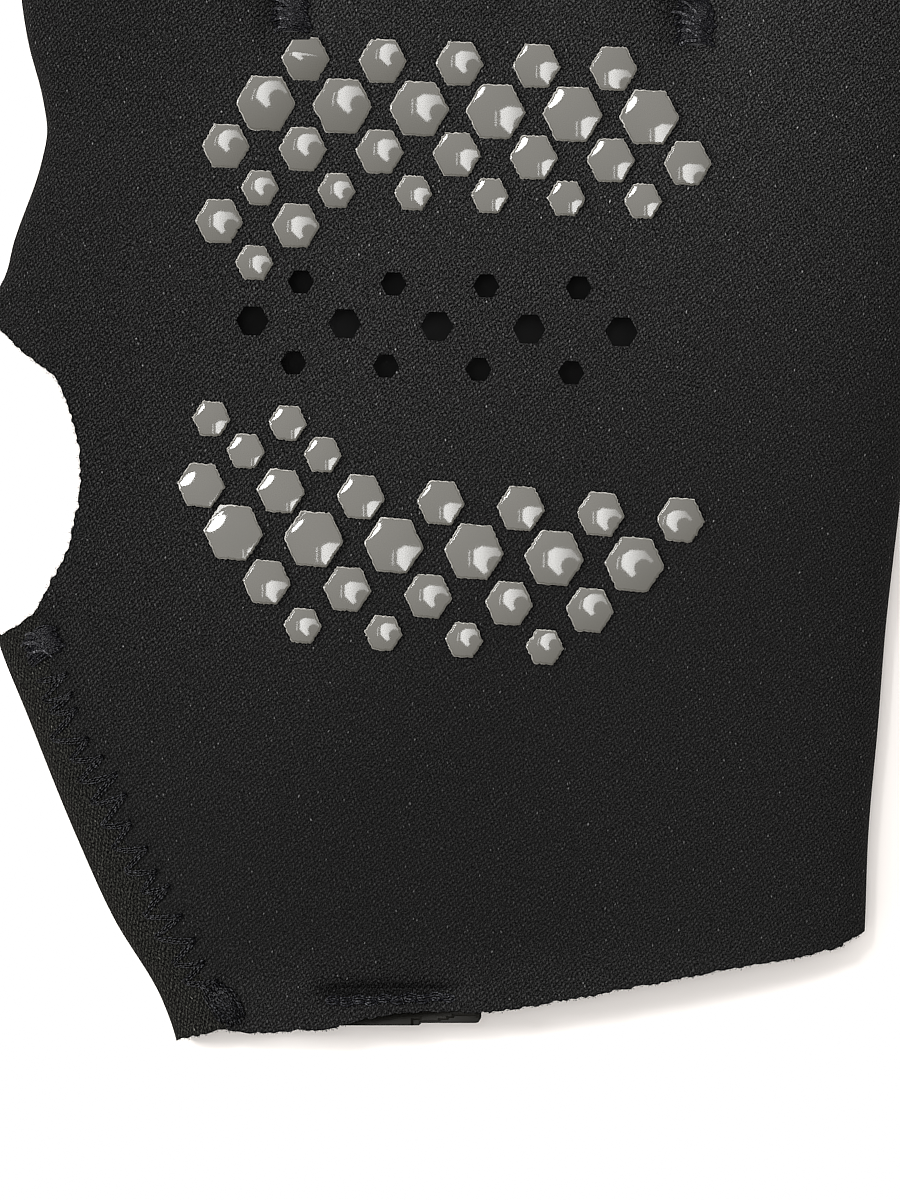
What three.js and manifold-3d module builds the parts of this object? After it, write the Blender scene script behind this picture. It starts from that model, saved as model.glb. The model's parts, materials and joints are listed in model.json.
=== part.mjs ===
// Half-finger training glove, left hand, lying palm up.
// Millimetres. +X runs from the thumb side to the little finger, +Y from the wrist to the
// fingertips and +Z up out of the palm. The origin is under the middle of the glove's box.
import * as THREE from 'three';
import { mergeVertices } from 'three/addons/utils/BufferGeometryUtils.js';
import Module from 'manifold-3d';

const wasm = await Module();
wasm.setup();

// Driving dimensions
const WALL = 1.5;
const FOLD_RADIUS = 2.4;
const PANEL_GAP = 0.3;
const SEAT_GAP = 0.3;
const SEAM_INSET = 9;
const SEAM_HEIGHT = 3.2;
const SLIT_HALF_WIDTH = 0.45;
const SLIT_TIP_HALF_WIDTH = 1.2;
const SLIT_REACH = 9;
const VALLEY_LENGTH = 16;
const WRIST_Y = -72;
const TIP_Y = 69;
const CUT_BELOW = -5;
const CUT_ABOVE = 30;
const CLEAR_X = 60;
const CLEAR_Y = 80;
const RIM = 0.05;

// Fold edges seen from above: height y, thumb-side x and little-finger-side x.
// Between y = -25 and y = 9 the thumb side is cut away by the thumb hole.
const FOLDS = [
  { y: -72.0, left: -28.4, right: 43.0 },
  { y: -67.9, left: -29.1, right: 43.2 },
  { y: -63.7, left: -30.6, right: 43.4 },
  { y: -55.3, left: -35.6, right: 43.8 },
  { y: -46.8, left: -39.5, right: 44.1 },
  { y: -34.2, left: -44.6, right: 45.2 },
  { y: -25.2, left: -48.1, right: 45.9 },
  { y: -8.9, left: -50.0, right: 47.7 },
  { y: 5.8, left: -50.0, right: 48.8 },
  { y: 9.0, left: -49.6, right: 49.1 },
  { y: 12.1, left: -47.4, right: 49.3 },
  { y: 16.3, left: -46.2, right: 49.4 },
  { y: 24.7, left: -43.3, right: 49.7 },
  { y: 27.9, left: -42.7, right: 49.8 },
  { y: 31.1, left: -43.1, right: 49.8 },
  { y: 37.4, left: -44.7, right: 49.9 },
  { y: 47.9, left: -46.0, right: 49.9 },
  { y: 69.0, left: -46.6, right: 49.2 },
];

// Height of the palm above the table, and how far in from a fold it is reached.
const CROWNS = [
  { y: -72, height: 7.8, reach: 24 },
  { y: -58, height: 8.4, reach: 27 },
  { y: -36, height: 9.5, reach: 30 },
  { y: -8, height: 9.8, reach: 30 },
  { y: 18, height: 9.5, reach: 27 },
  { y: 32, height: 9.1, reach: 20 },
  { y: 45, height: 8.8, reach: 11.5 },
  { y: 69, height: 8.6, reach: 10 },
];

// Slits between the fingers: where the line starts at the wrist, the crotch, and the tip.
const SLITS = [
  { name: 'index_middle', wristX: -13.0, x: -16.9, y: 44.2, tipX: -17.8 },
  { name: 'middle_ring', wristX: 4.5, x: 6.7, y: 47.9, tipX: 6.4 },
  { name: 'ring_little', wristX: 22.5, x: 25.7, y: 42.8, tipX: 27.0 },
];

// Finger stalls, from the thumb side: y of each open end.
const STALL_ENDS = [
  { name: 'index', y: 61.5 },
  { name: 'middle', y: 68.0 },
  { name: 'ring', y: 65.5 },
  { name: 'little', y: 58.5 },
];

// Cut edge of the thumb hole, from its upper corner round to its lower one.
const THUMB_CUT = [
  { x: -49.6, y: 9.0 },
  { x: -47.4, y: 6.8 },
  { x: -45.4, y: 4.7 },
  { x: -42.5, y: 2.6 },
  { x: -41.0, y: 0.5 },
  { x: -39.9, y: -2.6 },
  { x: -39.1, y: -6.8 },
  { x: -39.3, y: -11.0 },
  { x: -40.5, y: -16.3 },
  { x: -42.2, y: -19.6 },
  { x: -43.9, y: -22.7 },
  { x: -46.7, y: -24.7 },
  { x: -48.1, y: -25.2 },
];

// Cut edge of the wrist, from the thumb side.
const WRIST_CUT = [
  { x: -29.2, y: -68.1 },
  { x: -26.4, y: -67.5 },
  { x: -24.3, y: -66.9 },
  { x: -21.0, y: -67.2 },
  { x: -11.7, y: -66.7 },
  { x: -4.0, y: -66.3 },
  { x: 3.0, y: -65.1 },
  { x: 11.5, y: -63.9 },
  { x: 28.3, y: -60.7 },
  { x: 37.5, y: -59.1 },
  { x: 41.5, y: -57.9 },
  { x: 43.7, y: -56.5 },
];

// Seam that joins the wrapped back to the palm, from the thumb hole to the wrist.
const THUMB_SEAM = [
  { x: -44.6, y: -18.0 },
  { x: -43.0, y: -25.8 },
  { x: -40.9, y: -33.5 },
  { x: -36.6, y: -43.1 },
  { x: -32.8, y: -50.1 },
  { x: -29.2, y: -57.3 },
  { x: -25.0, y: -63.4 },
  { x: -22.0, y: -72.0 },
];

// Under the palm the seam runs on from the index side, and ends in the thumb hole here.
const SEAM_IN_THUMB_HOLE = [
  { x: -41.6, y: 0 },
  { x: -46, y: -10 },
  { x: -60, y: -20 },
];

// Silicone grips: width over the corners by size, and the rows they are printed in.
const GRIP_WIDTHS = { big: 6.35, medium: 5.1, small: 4.05 };
const GRIP_STRETCH = 1.04;
const GRIP_HEIGHT = 0.55;
const GRIP_CHAMFER = 0.2;
const GRIP_ROWS = [
  { name: 'upper_1', size: 'medium', count: 5, x: -15.3, y: 35.4, stepX: 8.1, stepY: -0.26, turn: -2 },
  { name: 'upper_2', size: 'big', count: 6, x: -19.5, y: 30.7, stepX: 8.07, stepY: -0.29, turn: -2 },
  { name: 'upper_3', size: 'medium', count: 7, x: -23.7, y: 26.2, stepX: 8.1, stepY: -0.3, turn: -2 },
  { name: 'upper_4', size: 'small', count: 6, x: -20.1, y: 21.8, stepX: 8.06, stepY: -0.28, turn: -2 },
  { name: 'upper_5', size: 'medium', count: 2, x: -24.4, y: 18.3, stepX: 8.07, stepY: -0.48, turn: -2 },
  { name: 'upper_6', size: 'small', count: 1, x: -20.7, y: 13.9, stepX: 8.07, stepY: -0.3, turn: -2 },
  { name: 'lower_1', size: 'small', count: 2, x: -25.2, y: -2.5, stepX: 8.02, stepY: -0.45, turn: -4 },
  { name: 'lower_2', size: 'small', count: 2, x: -21.6, y: -5.9, stepX: 8.1, stepY: -0.38, turn: -4 },
  { name: 'lower_3', size: 'medium', count: 7, x: -26.3, y: -9.5, stepX: 8.41, stepY: -0.61, turn: -4.6 },
  { name: 'lower_4', size: 'big', count: 6, x: -22.9, y: -14.5, stepX: 8.44, stepY: -0.67, turn: -4.6 },
  { name: 'lower_5', size: 'medium', count: 5, x: -19.4, y: -19.7, stepX: 8.5, stepY: -0.74, turn: -4.6 },
  { name: 'lower_6', size: 'small', count: 4, x: -15.6, y: -24.3, stepX: 8.49, stepY: -0.75, turn: -4.6 },
];

// Vent holes through the palm, in rows as the grips are.
const VENT_WIDTHS = { large: 3.5, small: 2.8 };
const VENT_ROWS = [
  { size: 'small', count: 4, x: -15.8, y: 11.9, stepX: 9.75, stepY: -0.21, turn: -2 },
  { size: 'large', count: 5, x: -20.9, y: 7.8, stepX: 9.71, stepY: -0.29, turn: -2 },
  { size: 'small', count: 4, x: -16.6, y: 3.4, stepX: 9.75, stepY: -0.35, turn: -2 },
];
const VENT_FLOOR = 3.5;

// Bar tacks: raised pads of thread that hold the palm down at each crotch and at the thumb.
const TACK_HEIGHT = 0.8;
const TACK_FALL = 0.7;
const TACKS = [
  { name: 'tack_index_middle', x: -16.9, y: 40.8, width: 3.7, length: 6.5, turn: 0 },
  { name: 'tack_middle_ring', x: 6.7, y: 44.4, width: 3.7, length: 6.5, turn: 0 },
  { name: 'tack_ring_little', x: 25.7, y: 39.4, width: 3.7, length: 6.5, turn: 0 },
  { name: 'tack_thumb', x: -43.0, y: -26.4, width: 3.6, length: 4.1, turn: 12 },
];

// Wrist tab and the row of stitches that draws the palm down over it.
const TAB = { left: -11.2, right: 3.1, bottom: -66.4, top: -61.4, thickness: 1.0, corner: 1.1 };
const STITCH_DENT = { x: -6.5, y: -63.3, halfLength: 6.7, halfWidth: 2.4, depth: 1.1 };

// Steps of the shaped blanks: across each lobe, close to the outer folds, and along the hand.
const OUTSIDE_LOBE_STEPS = 6;
const HOLLOW_LOBE_STEPS = 5;
const FOLD_STEPS = [0.35, 1.1];
const TACK_STEPS = { across: 4, along: 6 };
const TAB_STEPS = { across: 8, along: 4 };
const THUMB_CUT_STEPS = 30;
const STATIONS = [
  -72, -68, -65.7, -63.3, -60.9, -58, -50, -42, -33, -25.2, -17, -8.9, 0, 5.8, 9, 12.1, 16.3, 20.5,
  25.5, 29.5, 33, 36, 38.6, 41, 42.8, 44.2, 46, 47.9, 50.5, 56, 62.5, 69,
];

const MATERIALS = {
  knit: new THREE.MeshStandardMaterial({ color: '#26262a', roughness: 0.9, metalness: 0 }),
  silicone: new THREE.MeshStandardMaterial({ color: '#75726d', roughness: 0.18, metalness: 0 }),
  thread: new THREE.MeshStandardMaterial({ color: '#1d1d22', roughness: 0.75, metalness: 0 }),
  rubber: new THREE.MeshStandardMaterial({ color: '#23221f', roughness: 0.55, metalness: 0 }),
};

// Value of one named column at y, read between the rows of a table.
function columnAt(rows, column, y) {
  const last = rows.length - 1;
  if (y <= rows[0].y) return rows[0][column];
  if (y >= rows[last].y) return rows[last][column];
  const above = rows.findIndex((row) => row.y > y);
  const low = rows[above - 1];
  const high = rows[above];
  return THREE.MathUtils.mapLinear(y, low.y, high.y, low[column], high[column]);
}

// Middle and half width of a slit at y. Below the crotch it is only a guide line.
function slitAt(slit, y) {
  if (y <= slit.y) {
    const x = THREE.MathUtils.mapLinear(y, WRIST_Y, slit.y, slit.wristX, slit.x);
    return { x, half: SLIT_HALF_WIDTH };
  }
  return {
    x: THREE.MathUtils.mapLinear(y, slit.y, TIP_Y, slit.x, slit.tipX),
    half: THREE.MathUtils.mapLinear(y, slit.y, TIP_Y, SLIT_HALF_WIDTH, SLIT_TIP_HALF_WIDTH),
  };
}

// Quarter ellipse: 0 at a fold, 1 from its reach inwards.
function rise(distance, reach) {
  const t = THREE.MathUtils.clamp(distance / reach, 0, 1);
  return Math.sqrt(1 - (1 - t) ** 2);
}

// Share of the height that a slit leaves: 0 in the slit, back to 1 away from it.
function slitShare(slit, x, y) {
  const { x: middle, half } = slitAt(slit, y);
  const side = rise(Math.abs(x - middle) - half, SLIT_REACH);
  if (y >= slit.y) return side;
  const away = THREE.MathUtils.clamp((slit.y - y) / VALLEY_LENGTH, 0, 1);
  return 1 - (1 - side) * (1 - away) ** 2;
}

// Dent drawn in by the row of stitches at the wrist.
function stitchDent(x, y) {
  const along = (x - STITCH_DENT.x) / STITCH_DENT.halfLength;
  const across = (y - STITCH_DENT.y) / STITCH_DENT.halfWidth;
  return STITCH_DENT.depth * Math.exp(-(along ** 4) - across ** 2);
}

// Top of the glove at a plan point, or of its hollow when inset by the wall.
function palmTop(x, y, inset) {
  const crown = columnAt(CROWNS, 'height', y);
  const reach = columnAt(CROWNS, 'reach', y);
  const left = x - columnAt(FOLDS, 'left', y);
  const right = columnAt(FOLDS, 'right', y) - x;
  const outer = rise(left, reach) * rise(right, reach);
  const inner = rise(left - inset, reach - inset) * rise(right - inset, reach - inset);
  const share = SLITS.reduce((product, slit) => product * slitShare(slit, x, y), 1);
  const drop = (crown - FOLD_RADIUS) * outer * (1 - share) + stitchDent(x, y) * outer;
  return FOLD_RADIUS + (crown - inset - FOLD_RADIUS) * inner - drop;
}

// Plan distance to the nearest fold or slit.
function foldDistance(x, y) {
  const sides = [x - columnAt(FOLDS, 'left', y), columnAt(FOLDS, 'right', y) - x];
  const slits = SLITS.map((slit) => {
    const { x: middle, half } = slitAt(slit, Math.max(y, slit.y));
    return Math.hypot(x - middle, Math.max(slit.y - y, 0)) - half;
  });
  return Math.min(...sides, ...slits);
}

// Underside of the glove, or the floor of its hollow: flat, rounded up at the folds.
function backBottom(x, y, inset) {
  const radius = FOLD_RADIUS - inset;
  const d = THREE.MathUtils.clamp(foldDistance(x, y) - inset, 0, radius);
  return FOLD_RADIUS - Math.sqrt(radius ** 2 - (radius - d) ** 2);
}

// Closed geometry with shared corners and no empty triangles.
function closed(geometry) {
  geometry.deleteAttribute('normal');
  geometry.deleteAttribute('uv');
  const merged = mergeVertices(geometry, 1e-4);
  const index = Array.from(merged.index.array);
  const kept = [];
  for (let i = 0; i < index.length; i += 3) {
    const [a, b, c] = index.slice(i, i + 3);
    if (a !== b && b !== c && c !== a) kept.push(a, b, c);
  }
  merged.setIndex(kept);
  return merged;
}

function toSolid(geometry) {
  const body = closed(geometry);
  const vertProperties = new Float32Array(body.attributes.position.array);
  const triVerts = new Uint32Array(body.index.array);
  return new wasm.Manifold(new wasm.Mesh({ numProp: 3, vertProperties, triVerts }));
}

function toGeometry(solid) {
  const mesh = solid.getMesh();
  const geometry = new THREE.BufferGeometry();
  geometry.setAttribute('position', new THREE.BufferAttribute(mesh.vertProperties, 3));
  geometry.setIndex(new THREE.BufferAttribute(mesh.triVerts, 1));
  return geometry;
}

// Flat blank of across by along steps, each corner moved by place(u, v, isTop).
function shapedBlank(across, along, place) {
  const geometry = new THREE.BoxGeometry(1, 1, 1, across, along, 1);
  const position = geometry.attributes.position;
  for (let i = 0; i < position.count; i += 1) {
    const point = place(position.getX(i) + 0.5, position.getY(i) + 0.5, position.getZ(i) > 0);
    position.setXYZ(i, point.x, point.y, point.z);
  }
  return geometry;
}

// Upright prism over a plan outline.
function prism(points, low, high) {
  const shape = new THREE.Shape(points.map((point) => new THREE.Vector2(point.x, point.y)));
  const depth = high - low;
  const geometry = new THREE.ExtrudeGeometry(shape, { depth, bevelEnabled: false });
  return toSolid(geometry.translate(0, 0, low));
}

function smoothLine(points, steps) {
  const line = new THREE.SplineCurve(points.map((point) => new THREE.Vector2(point.x, point.y)));
  return line.getPoints(steps);
}

// x of each column across the glove at y: four lobes, spaced closer towards their sides.
function columnsAt(y, inset) {
  const edges = [columnAt(FOLDS, 'left', y) + inset];
  SLITS.forEach((slit) => {
    const { x, half } = slitAt(slit, y);
    edges.push(x - half, x + half);
  });
  edges.push(columnAt(FOLDS, 'right', y) - inset);
  const steps = inset > 0 ? HOLLOW_LOBE_STEPS : OUTSIDE_LOBE_STEPS;
  const columns = [];
  for (let lobe = 0; lobe < edges.length; lobe += 2) {
    for (let step = 0; step <= steps; step += 1) {
      const share = (1 - Math.cos((Math.PI * step) / steps)) / 2;
      columns.push(THREE.MathUtils.lerp(edges[lobe], edges[lobe + 1], share));
    }
  }
  if (inset > 0) return columns;
  const first = columns.shift();
  const last = columns.pop();
  const leftFold = FOLD_STEPS.map((distance) => first + distance);
  const rightFold = FOLD_STEPS.map((distance) => last - distance).reverse();
  return [first, ...leftFold, ...columns, ...rightFold, last];
}

// The whole glove as one lobed blank, or its hollow when inset by the wall.
function gloveBlank(inset) {
  const rows = STATIONS.map((y) => columnsAt(y, inset));
  const across = rows[0].length - 1;
  const along = STATIONS.length - 1;
  return toSolid(shapedBlank(across, along, (u, v, isTop) => {
    const row = Math.round(v * along);
    const y = STATIONS[row];
    const x = rows[row][Math.round(u * across)];
    const low = backBottom(x, y, inset) - RIM;
    const z = isTop ? Math.max(palmTop(x, y, inset), low + RIM) + RIM : low;
    return { x, y, z: inset > 0 ? z : Math.max(z, 0) };
  }));
}

// Slit between two fingers, widened by the wall where it shapes the hollow.
function slitSolid(slit, widen) {
  const start = slitAt(slit, slit.y);
  const end = slitAt(slit, TIP_Y + 1);
  const radius = start.half + RIM + widen;
  const arc = new THREE.Shape();
  arc.moveTo(end.x - end.half - RIM - widen, TIP_Y + 1);
  arc.lineTo(start.x - radius, slit.y + radius - widen);
  arc.absarc(start.x, slit.y + radius - widen, radius, Math.PI, 2 * Math.PI, false);
  arc.lineTo(end.x + end.half + RIM + widen, TIP_Y + 1);
  return prism(arc.getPoints(4), CUT_BELOW, CUT_ABOVE);
}

// Everything past the open finger ends, stepped at the slits.
function beyondFingers() {
  const outline = [];
  STALL_ENDS.forEach((stall, i) => {
    const from = i === 0 ? -CLEAR_X : slitAt(SLITS[i - 1], stall.y).x;
    const to = i === SLITS.length ? CLEAR_X : slitAt(SLITS[i], stall.y).x;
    outline.push({ x: from, y: stall.y }, { x: to, y: stall.y });
  });
  outline.push({ x: CLEAR_X, y: CLEAR_Y }, { x: -CLEAR_X, y: CLEAR_Y });
  return prism(outline, CUT_BELOW, CUT_ABOVE);
}

// Thumb hole, cut through both layers from the folded side.
function thumbHole() {
  const edge = smoothLine(THUMB_CUT, THUMB_CUT_STEPS);
  const upper = { x: -CLEAR_X, y: edge[0].y + 1 };
  const lower = { x: -CLEAR_X, y: edge[edge.length - 1].y - 1 };
  return prism([upper, ...edge, lower], CUT_BELOW, CUT_ABOVE);
}

// Everything below the wrist's cut edge.
function belowWrist() {
  const littleSide = { x: CLEAR_X, y: WRIST_CUT[WRIST_CUT.length - 1].y };
  const thumbSide = { x: -CLEAR_X, y: WRIST_CUT[0].y };
  const far = [
    { x: CLEAR_X, y: -CLEAR_Y },
    { x: -CLEAR_X, y: -CLEAR_Y },
  ];
  return prism([...WRIST_CUT, littleSide, ...far, thumbSide], CUT_BELOW, CUT_ABOVE);
}

// Part of the wall that belongs to the back, with its seam edges moved out by grow.
function backSide(grow) {
  const aboveThumb = STATIONS.filter((y) => y > THUMB_CUT[1].y && y < TIP_Y);
  const left = aboveThumb.map((y) => ({ x: columnAt(FOLDS, 'left', y) + SEAM_INSET - grow, y }));
  const right = STATIONS.map((y) => ({ x: columnAt(FOLDS, 'right', y) - SEAM_INSET + grow, y }));
  const outline = [
    { x: right[0].x, y: -CLEAR_Y },
    ...right,
    { x: right[right.length - 1].x, y: CLEAR_Y },
    { x: left[left.length - 1].x, y: CLEAR_Y },
    ...left.reverse(),
    ...SEAM_IN_THUMB_HOLE.map((point) => ({ x: point.x - grow, y: point.y })),
    { x: -CLEAR_X, y: -CLEAR_Y },
  ];
  const under = prism(outline, CUT_BELOW, SEAM_HEIGHT + grow);
  const seam = THUMB_SEAM.map((point) => ({ x: point.x + grow, y: point.y }));
  const thumbSide = [
    { x: -CLEAR_X, y: THUMB_SEAM[THUMB_SEAM.length - 1].y },
    { x: -CLEAR_X, y: THUMB_SEAM[0].y },
  ];
  const wrap = prism([...seam, ...thumbSide], CUT_BELOW, CUT_ABOVE);
  return under.add(wrap);
}

function hexagonOutline(width, x, y, turn) {
  const outline = [];
  for (let corner = 0; corner < 6; corner += 1) {
    const angle = (corner * Math.PI) / 3 + THREE.MathUtils.degToRad(turn);
    outline.push({ x: x + (width / 2) * Math.cos(angle), y: y + (width / 2) * Math.sin(angle) });
  }
  return outline;
}

function ventHoles() {
  const holes = [];
  VENT_ROWS.forEach((row) => {
    for (let i = 0; i < row.count; i += 1) {
      const x = row.x + i * row.stepX;
      const y = row.y + i * row.stepY;
      holes.push(prism(hexagonOutline(VENT_WIDTHS[row.size], x, y, row.turn), VENT_FLOOR, CUT_ABOVE));
    }
  });
  return holes;
}

// Two cloth panels that make the hand's hollow: palm with vents, and back with its wrap.
function gloveWalls() {
  let outside = gloveBlank(0);
  let hollow = gloveBlank(WALL);
  SLITS.forEach((slit) => {
    outside = outside.subtract(slitSolid(slit, 0));
    hollow = hollow.subtract(slitSolid(slit, WALL));
  });
  const away = beyondFingers().add(thumbHole()).add(belowWrist());
  const shell = outside.subtract(away).subtract(hollow);
  let palm = shell.subtract(backSide(PANEL_GAP));
  ventHoles().forEach((hole) => {
    palm = palm.subtract(hole);
  });
  return { palm, back: shell.intersect(backSide(0)) };
}

// Room that the thread of a tack takes out of a grip printed under its end.
function trimmedByTacks(geometry, x, y) {
  const reach = GRIP_WIDTHS.big;
  const near = TACKS.filter((tack) => {
    return Math.abs(tack.x - x) < reach && Math.abs(tack.y - y) < tack.length / 2 + reach / 2;
  });
  if (near.length === 0) return closed(geometry);
  const corners = [[0, 0], [1, 0], [1, 1], [0, 1]];
  let pad = toSolid(geometry);
  near.forEach((tack) => {
    const outline = corners.map(([u, v]) => tackPoint(tack, u, v, SEAT_GAP));
    pad = pad.subtract(prism(outline, CUT_BELOW, CUT_ABOVE));
  });
  return toGeometry(pad);
}

// One printed grip: six-sided, chamfered, seated on the palm.
function gripPad(size, x, y, turn) {
  const radius = GRIP_WIDTHS[size] / 2;
  const profile = [
    new THREE.Vector2(0, 0),
    new THREE.Vector2(radius, 0),
    new THREE.Vector2(radius, GRIP_HEIGHT - GRIP_CHAMFER),
    new THREE.Vector2(radius - GRIP_CHAMFER, GRIP_HEIGHT),
    new THREE.Vector2(0, GRIP_HEIGHT),
  ];
  const geometry = new THREE.LatheGeometry(profile, 6, Math.PI / 2).rotateX(Math.PI / 2);
  geometry.scale(1, GRIP_STRETCH, 1).rotateZ(THREE.MathUtils.degToRad(turn)).translate(x, y, 0);
  const position = geometry.attributes.position;
  for (let i = 0; i < position.count; i += 1) {
    const seat = palmTop(position.getX(i), position.getY(i), 0) + RIM + SEAT_GAP;
    position.setZ(i, position.getZ(i) + seat);
  }
  return trimmedByTacks(geometry, x, y);
}

// Plan point of a tack at u across and v along, its outline moved out by grow.
function tackPoint(tack, u, v, grow) {
  const angle = THREE.MathUtils.degToRad(tack.turn);
  const across = (u - 0.5) * (tack.width + 2 * grow);
  const along = (v - 0.5) * (tack.length + 2 * grow);
  const x = tack.x + across * Math.cos(angle) - along * Math.sin(angle);
  const y = tack.y + across * Math.sin(angle) + along * Math.cos(angle);
  return { x, y };
}

// One bar tack: a rounded pad of thread lying on the palm.
function barTack(tack) {
  return closed(shapedBlank(TACK_STEPS.across, TACK_STEPS.along, (u, v, isTop) => {
    const { x, y } = tackPoint(tack, u, v, 0);
    const dome = 1 - TACK_FALL * Math.max((2 * u - 1) ** 2, (2 * v - 1) ** 4);
    const seat = palmTop(x, y, 0) + RIM + SEAT_GAP;
    return { x, y, z: isTop ? seat + TACK_HEIGHT * dome : seat };
  }));
}

// Wrist tab: a small strip under the palm's edge, its rounded corners just showing.
function wristTab() {
  return closed(shapedBlank(TAB_STEPS.across, TAB_STEPS.along, (u, v, isTop) => {
    const nearEnd = Math.min(u, 1 - u) * (TAB.right - TAB.left);
    const cut = Math.max(TAB.corner - nearEnd, 0);
    const bottom = TAB.bottom + TAB.corner - Math.sqrt(TAB.corner ** 2 - cut ** 2);
    const x = THREE.MathUtils.lerp(TAB.left, TAB.right, u);
    const y = THREE.MathUtils.lerp(bottom, TAB.top, v);
    const under = palmTop(x, y, WALL) - RIM - SEAT_GAP;
    return { x, y, z: isTop ? under : under - TAB.thickness };
  }));
}

function named(name, geometry, material) {
  const mesh = new THREE.Mesh(geometry, material);
  mesh.name = name;
  return mesh;
}

function grips() {
  const group = new THREE.Group();
  GRIP_ROWS.forEach((row) => {
    for (let i = 0; i < row.count; i += 1) {
      const pad = gripPad(row.size, row.x + i * row.stepX, row.y + i * row.stepY, row.turn);
      group.add(named(`grip_${row.name}_${i + 1}`, pad, MATERIALS.silicone));
    }
  });
  return group;
}

function glove() {
  const group = new THREE.Group();
  const walls = gloveWalls();
  group.add(named('palm_panel', toGeometry(walls.palm), MATERIALS.knit));
  group.add(named('back_panel', toGeometry(walls.back), MATERIALS.knit));
  group.add(grips());
  TACKS.forEach((tack) => group.add(named(tack.name, barTack(tack), MATERIALS.thread)));
  group.add(named('wrist_tab', wristTab(), MATERIALS.rubber));
  return group;
}

export default glove();
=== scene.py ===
# Half-finger training glove, left hand, lying palm up on a pale table.
# Sizes below are in millimetres, in the part's own frame: +X runs from the thumb side to the
# little finger, +Y from the wrist to the fingertips and +Z up out of the palm.
import json
import math

import bpy
import numpy as np
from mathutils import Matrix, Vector

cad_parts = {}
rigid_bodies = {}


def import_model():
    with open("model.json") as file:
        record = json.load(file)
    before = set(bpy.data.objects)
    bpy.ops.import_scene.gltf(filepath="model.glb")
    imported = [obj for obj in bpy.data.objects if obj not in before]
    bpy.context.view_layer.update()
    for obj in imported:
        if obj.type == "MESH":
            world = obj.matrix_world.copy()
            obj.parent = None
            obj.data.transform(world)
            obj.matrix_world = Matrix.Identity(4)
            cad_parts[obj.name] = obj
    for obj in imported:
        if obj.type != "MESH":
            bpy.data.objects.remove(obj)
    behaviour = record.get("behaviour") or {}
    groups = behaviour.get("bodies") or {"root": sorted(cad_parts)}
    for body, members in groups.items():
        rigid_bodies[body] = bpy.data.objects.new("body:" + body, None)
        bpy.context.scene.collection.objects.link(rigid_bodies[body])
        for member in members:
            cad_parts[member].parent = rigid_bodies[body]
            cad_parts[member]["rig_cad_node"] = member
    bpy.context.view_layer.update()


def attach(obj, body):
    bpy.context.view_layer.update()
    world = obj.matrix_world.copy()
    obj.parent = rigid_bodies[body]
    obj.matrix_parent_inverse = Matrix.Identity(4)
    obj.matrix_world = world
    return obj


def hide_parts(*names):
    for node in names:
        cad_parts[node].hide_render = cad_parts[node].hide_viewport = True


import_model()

MM = 0.001

# Walls, folds and slits, as the part has them
WALL = 1.5
FOLD_RADIUS = 2.4
RIM = 0.05
SEAM_INSET = 9
SEAM_HEIGHT = 3.2
BUTT_GAP = 0.05
SLIT_HALF_WIDTH = 0.45
SLIT_TIP_HALF_WIDTH = 1.2
SLIT_REACH = 9
VALLEY_LENGTH = 16
VALLEY_SOFTNESS = 0.45
WRIST_Y = -72
TIP_Y = 69
CUT_BELOW = -5
CUT_ABOVE = 30
CLEAR_X = 60
CLEAR_Y = 80

# Where the two side folds of the laid-down glove are
FOLDS = [
    dict(y=-72.0, left=-28.4, right=43.0),
    dict(y=-67.9, left=-29.1, right=43.2),
    dict(y=-63.7, left=-30.6, right=43.4),
    dict(y=-55.3, left=-35.6, right=43.8),
    dict(y=-46.8, left=-39.5, right=44.1),
    dict(y=-34.2, left=-44.6, right=45.2),
    dict(y=-25.2, left=-48.1, right=45.9),
    dict(y=-8.9, left=-50.0, right=47.7),
    dict(y=5.8, left=-50.0, right=48.8),
    dict(y=9.0, left=-49.6, right=49.1),
    dict(y=12.1, left=-47.4, right=49.3),
    dict(y=16.3, left=-46.2, right=49.4),
    dict(y=24.7, left=-43.3, right=49.7),
    dict(y=27.9, left=-42.7, right=49.8),
    dict(y=31.1, left=-43.1, right=49.8),
    dict(y=37.4, left=-44.7, right=49.9),
    dict(y=47.9, left=-46.0, right=49.9),
    dict(y=69.0, left=-46.6, right=49.2),
]

# Height of the palm, and how far in from the folds it is reached
CROWNS = [
    dict(y=-72, height=7.8, reach=24),
    dict(y=-58, height=8.4, reach=27),
    dict(y=-36, height=9.5, reach=30),
    dict(y=-8, height=9.8, reach=30),
    dict(y=18, height=9.5, reach=27),
    dict(y=32, height=9.1, reach=20),
    dict(y=45, height=8.8, reach=11.5),
    dict(y=69, height=8.6, reach=10),
]

# Slits between the fingers: x and y at the crotch, and x at the wrist and at the fingertips
SLITS = [
    dict(name="index_middle", wrist_x=-13.0, x=-16.9, y=44.2, tip_x=-17.8),
    dict(name="middle_ring", wrist_x=4.5, x=6.7, y=47.9, tip_x=6.4),
    dict(name="ring_little", wrist_x=22.5, x=25.7, y=42.8, tip_x=27.0),
]
STALL_ENDS = [
    dict(name="index", y=61.5),
    dict(name="middle", y=68.0),
    dict(name="ring", y=65.5),
    dict(name="little", y=58.5),
]

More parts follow.
